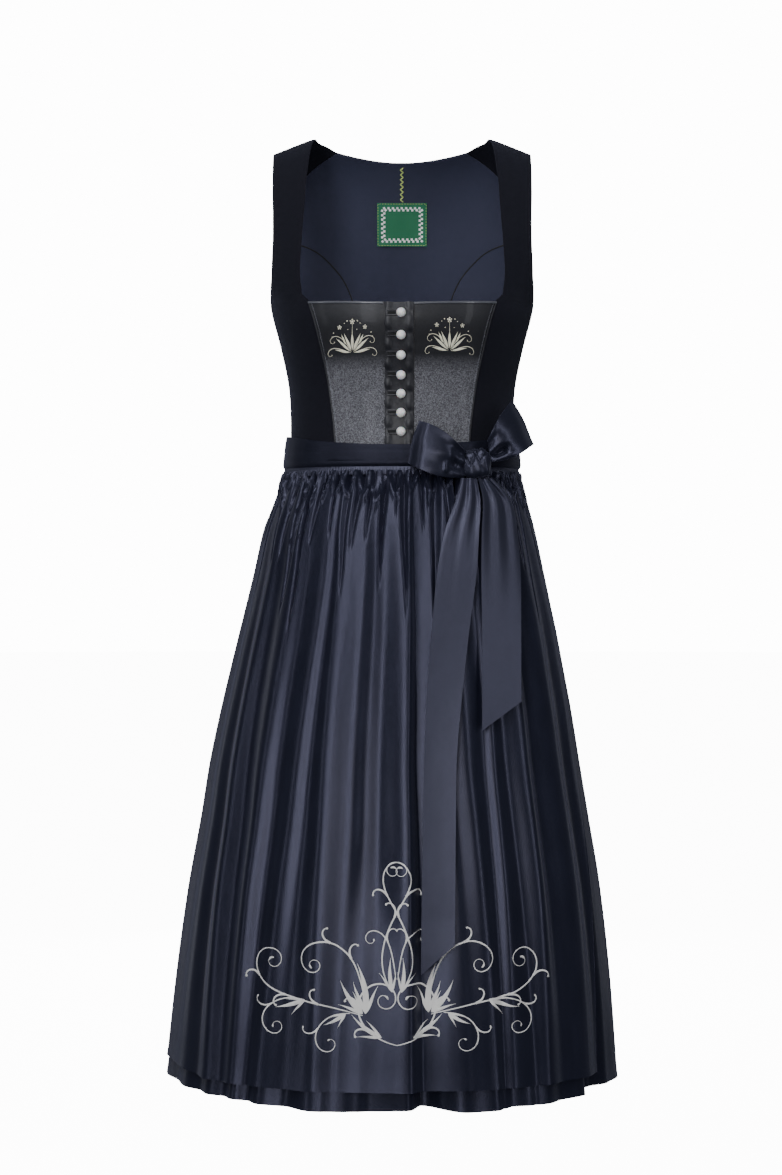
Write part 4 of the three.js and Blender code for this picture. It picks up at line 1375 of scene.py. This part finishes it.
def loop_shape(loop):
    knot, outer = loop["knot"], loop["outer"]
    amount, count, start = loop["creases"]

    def shape(s, t):
        turn, across = np.asarray(s), 2 * np.asarray(t) - 1
        out = (1 - np.cos(2 * np.pi * turn)) / 2
        ahead = np.clip(out + 0.75 * across * out * (1 - out), 0, 1)
        opening = loop["depth"] * np.sin(np.pi * ahead ** loop["peak"]) * np.sign(0.5 - turn)
        opening = opening + 2.4 * (1 - 2 * turn) - loop["roll"] * smooth(out, 0.72, 1.0) ** 2
        half = lerp(knot[3], outer[3], out) + loop["bulge"] * np.sin(np.pi * out)
        lean = lerp(knot[4], outer[4], out)
        front = turn < 0.5
        crease = amount * np.exp(-2.6 * out) * np.sin(count * across + start + 1.2 * out)
        crease = crease + 0.9 * np.exp(-((across - 0.25 - 0.5 * out) / 0.22) ** 2) * np.exp(-2 * out)
        swell = 1.2 * np.sin(np.pi * out) * (1 - across**2)
        for at, up, wide, high, deep in loop["dents"]:
            away = ((out - at) / wide) ** 2 + ((across - up) / high) ** 2
            crease = crease - deep * np.exp(-(away**2)) * front
        forward = np.where(front, 1, -1) * (crease + swell)
        sway = loop["hand"] * 1.3 * np.sin(2.6 * across + 1) * out
        return np.stack([
            lerp(knot[0], outer[0], out) + lean * across + sway,
            lerp(knot[1], outer[1], out) - opening - forward,
            lerp(knot[2], outer[2], out) + half * across,
        ], axis=-1)

    return shape


for side, loop in LOOPS.items():
    length, width = loop["flat"]
    bow = cloth(f"bow_loop_{side}_ribbon", (120, 44), loop_shape(loop), loop["flat"], SATIN, lift=-0.6)
    own(bow, "satin", RIBBON_SATIN, f"bow_loop_{side}")
print("bow loops:", len(LOOPS))

# %% Knot
KNOT_CENTRE, KNOT_RADII = (86, -103, -394.5), (16.5, 11.5, 17)


def groove(value, width):
    return np.exp(-((value / width) ** 2))


def knot_points(unit_points):
    """A wrapped band: a boxy ball with two V-shaped drags and a smooth roll under them."""
    x, y, z = unit_points.T
    boxy = (np.abs(x) ** 2.8 + np.abs(y) ** 2.8 + np.abs(z) ** 2.8) ** (-1 / 2.8)
    front = smooth(-y, -0.3, 0.3)
    drags = -0.15 * groove(z + 0.12 - 1.9 * np.abs(x + 0.46), 0.15) * smooth(z, -0.25, 0.0)
    drags = drags - 0.11 * groove(z - 0.05 - 1.6 * np.abs(x - 0.26), 0.15) * smooth(z, -0.4, -0.15)
    roll = 0.06 * groove(z + 0.62, 0.30)
    creases = 0.022 * np.sin(13 * x + 4 * z + 1)
    swell = boxy * (1 + (drags + roll + creases) * front)
    points = unit_points * swell[:, None] * KNOT_RADII
    points[:, 2] += 1.2 * np.sin(points[:, 0] / 5) * front
    return np.array(KNOT_CENTRE) + points


deselect()
bpy.ops.mesh.primitive_uv_sphere_add(segments=144, ring_count=108, radius=1)
knot = bpy.context.object
knot.name = knot.data.name = "bow_knot_wrap"
set_coordinates(knot.data, knot_points(coordinates(knot.data)) * MM)
scale_uv(knot.data, 90, 45)
shade(knot, 60)
own(knot, "satin", RIBBON_SATIN, "bow_knot")
print("knot:", len(knot.data.vertices), "points")

# %% Tails
TAILS = {
    "long": (table("level right left forward", [
        [-412.2, 68, 86, 5.5], [-437.6, 61.6, 90, 2], [-476, 48, 88, 0], [-524, 39.1, 84.5, 0],
        [-583, 33.2, 76.2, 0], [-653, 27.3, 67.8, 0], [-731, 23.8, 60.7, 0],
        [-800, 22.5, 59.4, 0], [-870, 21.2, 58.5, 0], [-952, 20.1, 57.8, 0],
    ]), 1.0),
    "short": (table("level right left forward", [
        [-412.2, 87.5, 104, 5.5], [-437.6, 92.5, 126, 2.5], [-476, 91, 133, 0],
        [-524, 90, 136, 0], [-583, 90.2, 135.6, 0], [-640, 89.8, 135, 0], [-684, 89.5, 134.7, 0],
    ]), 2.4),
}
TAIL_SLANT, TAIL_EASE, TAIL_TURNS = 16.0, 3.0, {"long": 2.0, "short": 4.2}


def crest_out(rows):
    """For levels down a tail, how far out the apron's crests behind it stand, smoothed."""
    levels = np.arange(-390.0, -1000.0, -5.0)
    place = np.arange(1.2, 27.6, 0.1)
    crests = []
    for level in levels:
        row = read(rows, "level", level)
        point = apron_surface(place, np.full(len(place), level))
        behind = (point[:, 0] > row["right"] - 9) & (point[:, 0] < row["left"] + 9)
        crests.append(stand_out("apron", place, np.full(len(place), level))[behind].max())
    crests = np.convolve(np.pad(crests, 3, mode="edge"), np.ones(7) / 7, mode="valid")
    return lambda level: np.interp(-level, -levels, crests)


def tail_shape(name, rows, phase):
    crest = crest_out(rows)
    end = rows["level"][-1]

    def shape(s, t):
        across = np.asarray(s)
        level = lerp(end, rows["level"][0], t) + TAIL_SLANT * (2 * across - 1) * (1 - t) ** 6
        row = read(rows, "level", level)
        x = lerp(row["right"], row["left"], across)
        section = read(SKIRT_SECTIONS, "level", level)
        below = rows["level"][0] - level
        fan = np.exp(-((below / 85) ** 2))
        pleats = 3.4 * fan * np.sin(2 * np.pi * (1.1 * across + 0.1 * phase)) ** 2
        edge = 2 * across - 1
        flat = (1 - fan) * (TAIL_TURNS[name] * edge + 1.3 * edge**2)
        sway = 0.5 * (1 - fan) * np.sin(below / 75 + phase + 1.5 * across)
        out = crest(level) + APRON_EASE + SATIN + TAIL_EASE + row["forward"] + pleats + flat + sway
        share = np.clip((x - section["shift"]) / (section["side"] + out), -1, 1)
        return section_point(level, np.arcsin(share ** (section["full"] / 2)), out)

    return shape


for name, (rows, phase) in TAILS.items():
    length = rows["level"][0] - rows["level"][-1]
    tail = cloth(
        f"bow_tail_{name}_ribbon", (36, int(length / 3)), tail_shape(name, rows, phase),
        (44, length), 0.9,
    )
    own(tail, "satin", TAIL_SATIN, f"tail_{name}")
print("tails:", len(TAILS))

# %% [markdown]
# ## Embroidery on the apron
#
# The scrollwork is composed from growing curves: each scroll starts with a heading and bends by
# so many degrees for each millimetre, more and more towards its end, which is what makes a
# spiral. One half is designed and mirrored. Small hooks leave the long scrolls, and leaves are
# fans of three pointed blades. On the cloth each line is a raised bead of satin stitch.

# %% Curves of the scrollwork
# Foot x and z in mm, heading in degrees, length, bends (share of the length, degrees per mm),
# half width, and the hooks that leave it (share, side).
SCROLLS = [
    # heart at the foot
    (0, 2, 12, 178, ((0, 0.5), (0.3, 1.7), (0.6, 2.7), (0.85, 6.0), (1, 12)), 1.15, ((0.2, -1), (0.36, -1))),
    # lyre that rises from the heart and curls inwards at the top
    (
        3, 60, 44, 204, ((0, 1.5), (0.3, 0.55), (0.5, 0.1), (0.62, -1.6), (0.78, -4.2), (1, -14)),
        1.05, ((0.44, -1), (0.56, 1)),
    ),
    # bud curls inside the lyre
    (1, 74, 82, 92, ((0, 0.1), (0.35, -0.6), (0.6, -3.2), (0.85, -9), (1, -17)), 0.85, ((0.45, 1),)),
    # second scroll, curls outwards
    (
        34, 46, 74, 180, ((0, 0.4), (0.25, -0.9), (0.5, -1.8), (0.75, -4.0), (1, -13)),
        1.05, ((0.3, 1), (0.46, 1)),
    ),
    # third scroll, low and wide, curls up and in
    (
        38, 34, 14, 214, ((0, 0), (0.3, -0.1), (0.5, 1.1), (0.72, 3.4), (0.88, 6), (1, 14)),
        1.05, ((0.24, 1), (0.42, -1), (0.58, -1)),
    ),
    # end scroll, curls down
    (104, 50, 6, 112, ((0, -0.4), (0.35, -1.9), (0.7, -4.6), (1, -14)), 0.9, ((0.34, 1),)),
    # low scroll under the third
    (52, 36, 2, 100, ((0, -0.8), (0.5, -2.6), (0.8, -6), (1, -14)), 0.85, ((0.42, 1),)),
]
# Foot x and z, heading, length, half width, bend of a leaf's middle blade.
LEAVES = [
    (35, 36, 96, 56, 3.4, -0.55), (38, 36, 40, 44, 2.8, 0.7), (17, 10, 22, 42, 2.4, 0.7),
    (5, 60, 76, 38, 2.2, 0.6), (102, 50, -28, 36, 2.3, 0.6), (57, 36, -40, 28, 2.0, 0.9),
]

LINE_WEIGHT = 0.8
HOOK = 24.0


def growing_curve(x, z, heading, length, bends, count):
    share = np.linspace(0, 1, count)
    bend = np.radians(np.interp(share, *np.transpose(bends)))
    step = length / (count - 1)
    angle = math.radians(heading) + np.concatenate([[0], np.cumsum((bend[1:] + bend[:-1]) / 2 * step)])
    middle = (angle[1:] + angle[:-1]) / 2
    along_x = x + np.concatenate([[0], np.cumsum(np.cos(middle) * step)])
    along_z = z + np.concatenate([[0], np.cumsum(np.sin(middle) * step)])
    return np.stack([along_x, along_z], axis=1), share


def scroll_lines(scrolls):
    """(path, half widths) of each scroll, with a round knob at its end, and of its hooks."""
    lines = []
    for x, z, heading, length, bends, width, hooks in scrolls:
        path, share = growing_curve(x, z, heading, length, bends, 110)
        swell = 0.5 + 0.75 * np.sin(np.pi * np.minimum(share * 1.05, 1)) ** 0.8
        knob = 1.15 * np.exp(-(((share - 0.985) / 0.012) ** 2))
        lines.append((path, LINE_WEIGHT * width * (swell * (1 - 0.3 * share) + knob)))
        for place, side in hooks:
            i = int(place * (len(path) - 1))
            dx, dz = path[i + 1] - path[i - 1]
            start = math.degrees(math.atan2(dz, dx)) + side * 10
            curl = ((0, side * 2.0), (0.5, side * 6), (1, side * 16))
            branch, share = growing_curve(*path[i], start, HOOK, curl, 30)
            knob = 0.9 * np.exp(-(((share - 0.95) / 0.04) ** 2))
            lines.append((branch, LINE_WEIGHT * width * (1.6 - 0.95 * share + knob)))
    return lines


def leaf_lines(leaves):
    lines = []
    for x, z, heading, length, width, bend in leaves:
        blades = ((0, 1, 1, 1, 1), (-24, 0.66, 0.62, 1.6, -2.2), (22, 0.6, 0.58, 1.6, -2.2))
        for turn, size, wide, first, last in blades:
            path, share = growing_curve(
                x, z, heading + turn, length * size, ((0, bend * first), (1, bend * last)), 36
            )
            swell = np.sin(np.pi * share**0.62) ** 1.15
            lines.append((path, np.maximum(width * wide * swell, 0.16)))
    return lines


print("scrolls and leaves in each half:", len(SCROLLS), len(LEAVES))


# %% Laying the pattern on the folded apron
class FoldedSheet:
    """Finds the place in the folds that lies at a given x on each level of the apron."""

    def __init__(self, top, bottom, step=3.0):
        self.levels = np.arange(top, bottom, -step)
        self.step = step
        self.places = np.linspace(APRON_RIGHT, APRON_LEFT_HEM, 1400)
        self.x = [
            np.maximum.accumulate(apron_surface(self.places, np.full(1400, level))[:, 0])
            for level in self.levels
        ]

    def place(self, x, level):
        row = np.clip((self.levels[0] - level) / self.step, 0, len(self.levels) - 1.001)
        i = row.astype(int)
        ends = [
            np.array([np.interp(at, self.x[k], self.places) for at, k in zip(x, i + shift)])
            for shift in (0, 1)
        ]
        return lerp(*ends, row - i)

    def lay(self, path, out):
        """The path in mm (x, level) as points on the cloth's face, and the face's normals."""
        x, level = path[:, 0], path[:, 1]
        place = self.place(x, level)
        along = apron_surface(place + 0.02, level) - apron_surface(place - 0.02, level)
        up = apron_surface(place, level + 0.5) - apron_surface(place, level - 0.5)
        normal = unit(np.cross(along, up))
        normal = facing_front(normal)
        return apron_surface(place, level) + normal * out, normal


EMBROIDERY_FOOT = (-6.5, -1047.0)
lower_apron = FoldedSheet(-825.0, -1065.0)
half_lines = scroll_lines(SCROLLS) + leaf_lines(LEAVES)
beads = []
for hand in (-1, 1):
    for path, widths in half_lines:
        laid, normal = lower_apron.lay(path * (hand, 1) + EMBROIDERY_FOOT, SATIN + 0.1)
        beads.append(bead(laid, normal, widths, 0.32 / np.maximum(widths.max() / 1.2, 1), 6))
embroidery = joined("apron_embroidery", beads, sides=6)
shade(embroidery, 80)
own(embroidery, "satin", SILVER_THREAD)
print("embroidery:", len(beads), "lines,", len(embroidery.data.polygons), "faces")

# %% [markdown]
# ## Sprays on the bib
#
# Each bib half carries a small printed spray in pale gold: nine leaves that fan out of one foot,
# three little flowers, curls and dots, a common kind of folk ornament. It is made of flat raised
# shapes too, so it takes the light as thick foil does.

# %% Spray of leaves and flowers
SPRAY_CURLS = [
    (1.5, 2, 58, 50, ((0, 0.5), (0.4, -2.0), (0.75, -9), (1, -26)), 0.5, ()),
    (-1.5, 2, 122, 50, ((0, -0.5), (0.4, 2.0), (0.75, 9), (1, 26)), 0.5, ()),
    (2, 1, 14, 44, ((0, 1.4), (0.4, -1.5), (0.75, -9), (1, -28)), 0.5, ()),
    (-2, 1, 166, 44, ((0, -1.4), (0.4, 1.5), (0.75, 9), (1, 28)), 0.5, ()),
    (0, 4, 90, 34, ((0, 0), (1, 0)), 0.5, ()),
]
SPRAY_LEAVES = [
    (0, 5, 90, 22, 1.9, 0), (1.5, 4, 70, 24, 1.7, -0.8), (-1.5, 4, 110, 24, 1.7, 0.8),
    (3, 3, 38, 25, 1.7, 0.9), (-3, 3, 142, 25, 1.7, -0.9),
    (4, 1, 8, 20, 1.5, 1.2), (-4, 1, 172, 20, 1.5, -1.2),
    (9, 12, 64, 14, 1.3, 1.0), (-9, 12, 116, 14, 1.3, -1.0),
]
SPRAY_SIZE = 0.86
SPRAY_FLOWERS = [(0, 41, 3.6), (17, 34, 3.0), (-17, 34, 3.0)]
SPRAY_DOTS = [
    (side * x, z, radius) for side in (-1, 1)
    for x, z, radius in ((7, 42, 0.8), (10.5, 39, 0.6), (25, 27, 0.8), (27, 22, 0.6), (6, 31, 0.6))
]


def petals(x, z, radius):
    """A flower of five pointed petals round a dot."""
    lines = [dot(x, z, radius * 0.3)]
    for k in range(5):
        angle = math.radians(72 * k + 20)
        share = np.linspace(0.32, 1.0, 12)
        path = np.stack([x + radius * share * math.cos(angle), z + radius * share * math.sin(angle)], axis=1)
        lines.append((path, np.maximum(0.30 * radius * np.sin(np.pi * (share - 0.3) / 0.72), 0.05)))
    return lines


def dot(x, z, radius):
    share = np.linspace(-0.98, 0.98, 9)
    return np.stack([x + radius * share, z + 0 * share], axis=1), radius * np.sqrt(1 - share**2)


def on_bib(hand, path):
    """Pattern points (x, level) on a bib half's face, with normals."""
    x, level = path[:, 0], path[:, 1]
    angle = body_angle(x, -level)
    point = body_point(angle, -level)
    along = body_point(angle + 0.01, -level) - body_point(angle - 0.01, -level)
    up = body_point(angle, -level - 0.5) - body_point(angle, -level + 0.5)
    normal = unit(np.cross(along, up))
    normal = facing_front(normal)
    return point + normal * 1.45, normal


def spray_blades(leaves):
    lines = []
    for x, z, heading, length, width, bend in leaves:
        path, share = growing_curve(x, z, heading, length, ((0, bend), (1, -bend)), 30)
        lines.append((path, np.maximum(width * np.sin(np.pi * share**0.8) ** 1.1, 0.15)))
    return lines


spray = scroll_lines(SPRAY_CURLS) + spray_blades(SPRAY_LEAVES)
for flower in SPRAY_FLOWERS:
    spray += petals(*flower)
spray += [dot(*place) for place in SPRAY_DOTS]
for side, hand, foot in (("right", -1, (-57.5, -267.0)), ("left", 1, (54.0, -265.0))):
    beads = []
    for path, widths in spray:
        laid, normal = on_bib(hand, path * (hand * SPRAY_SIZE, SPRAY_SIZE) + foot)
        beads.append(bead(laid, normal, widths * SPRAY_SIZE, 0.25, 6))
    foil = joined(f"bib_spray_{side}", beads, sides=6)
    shade(foil, 80)
    own(foil, "leather", FOIL)
print("sprays:", len(beads), "shapes each")
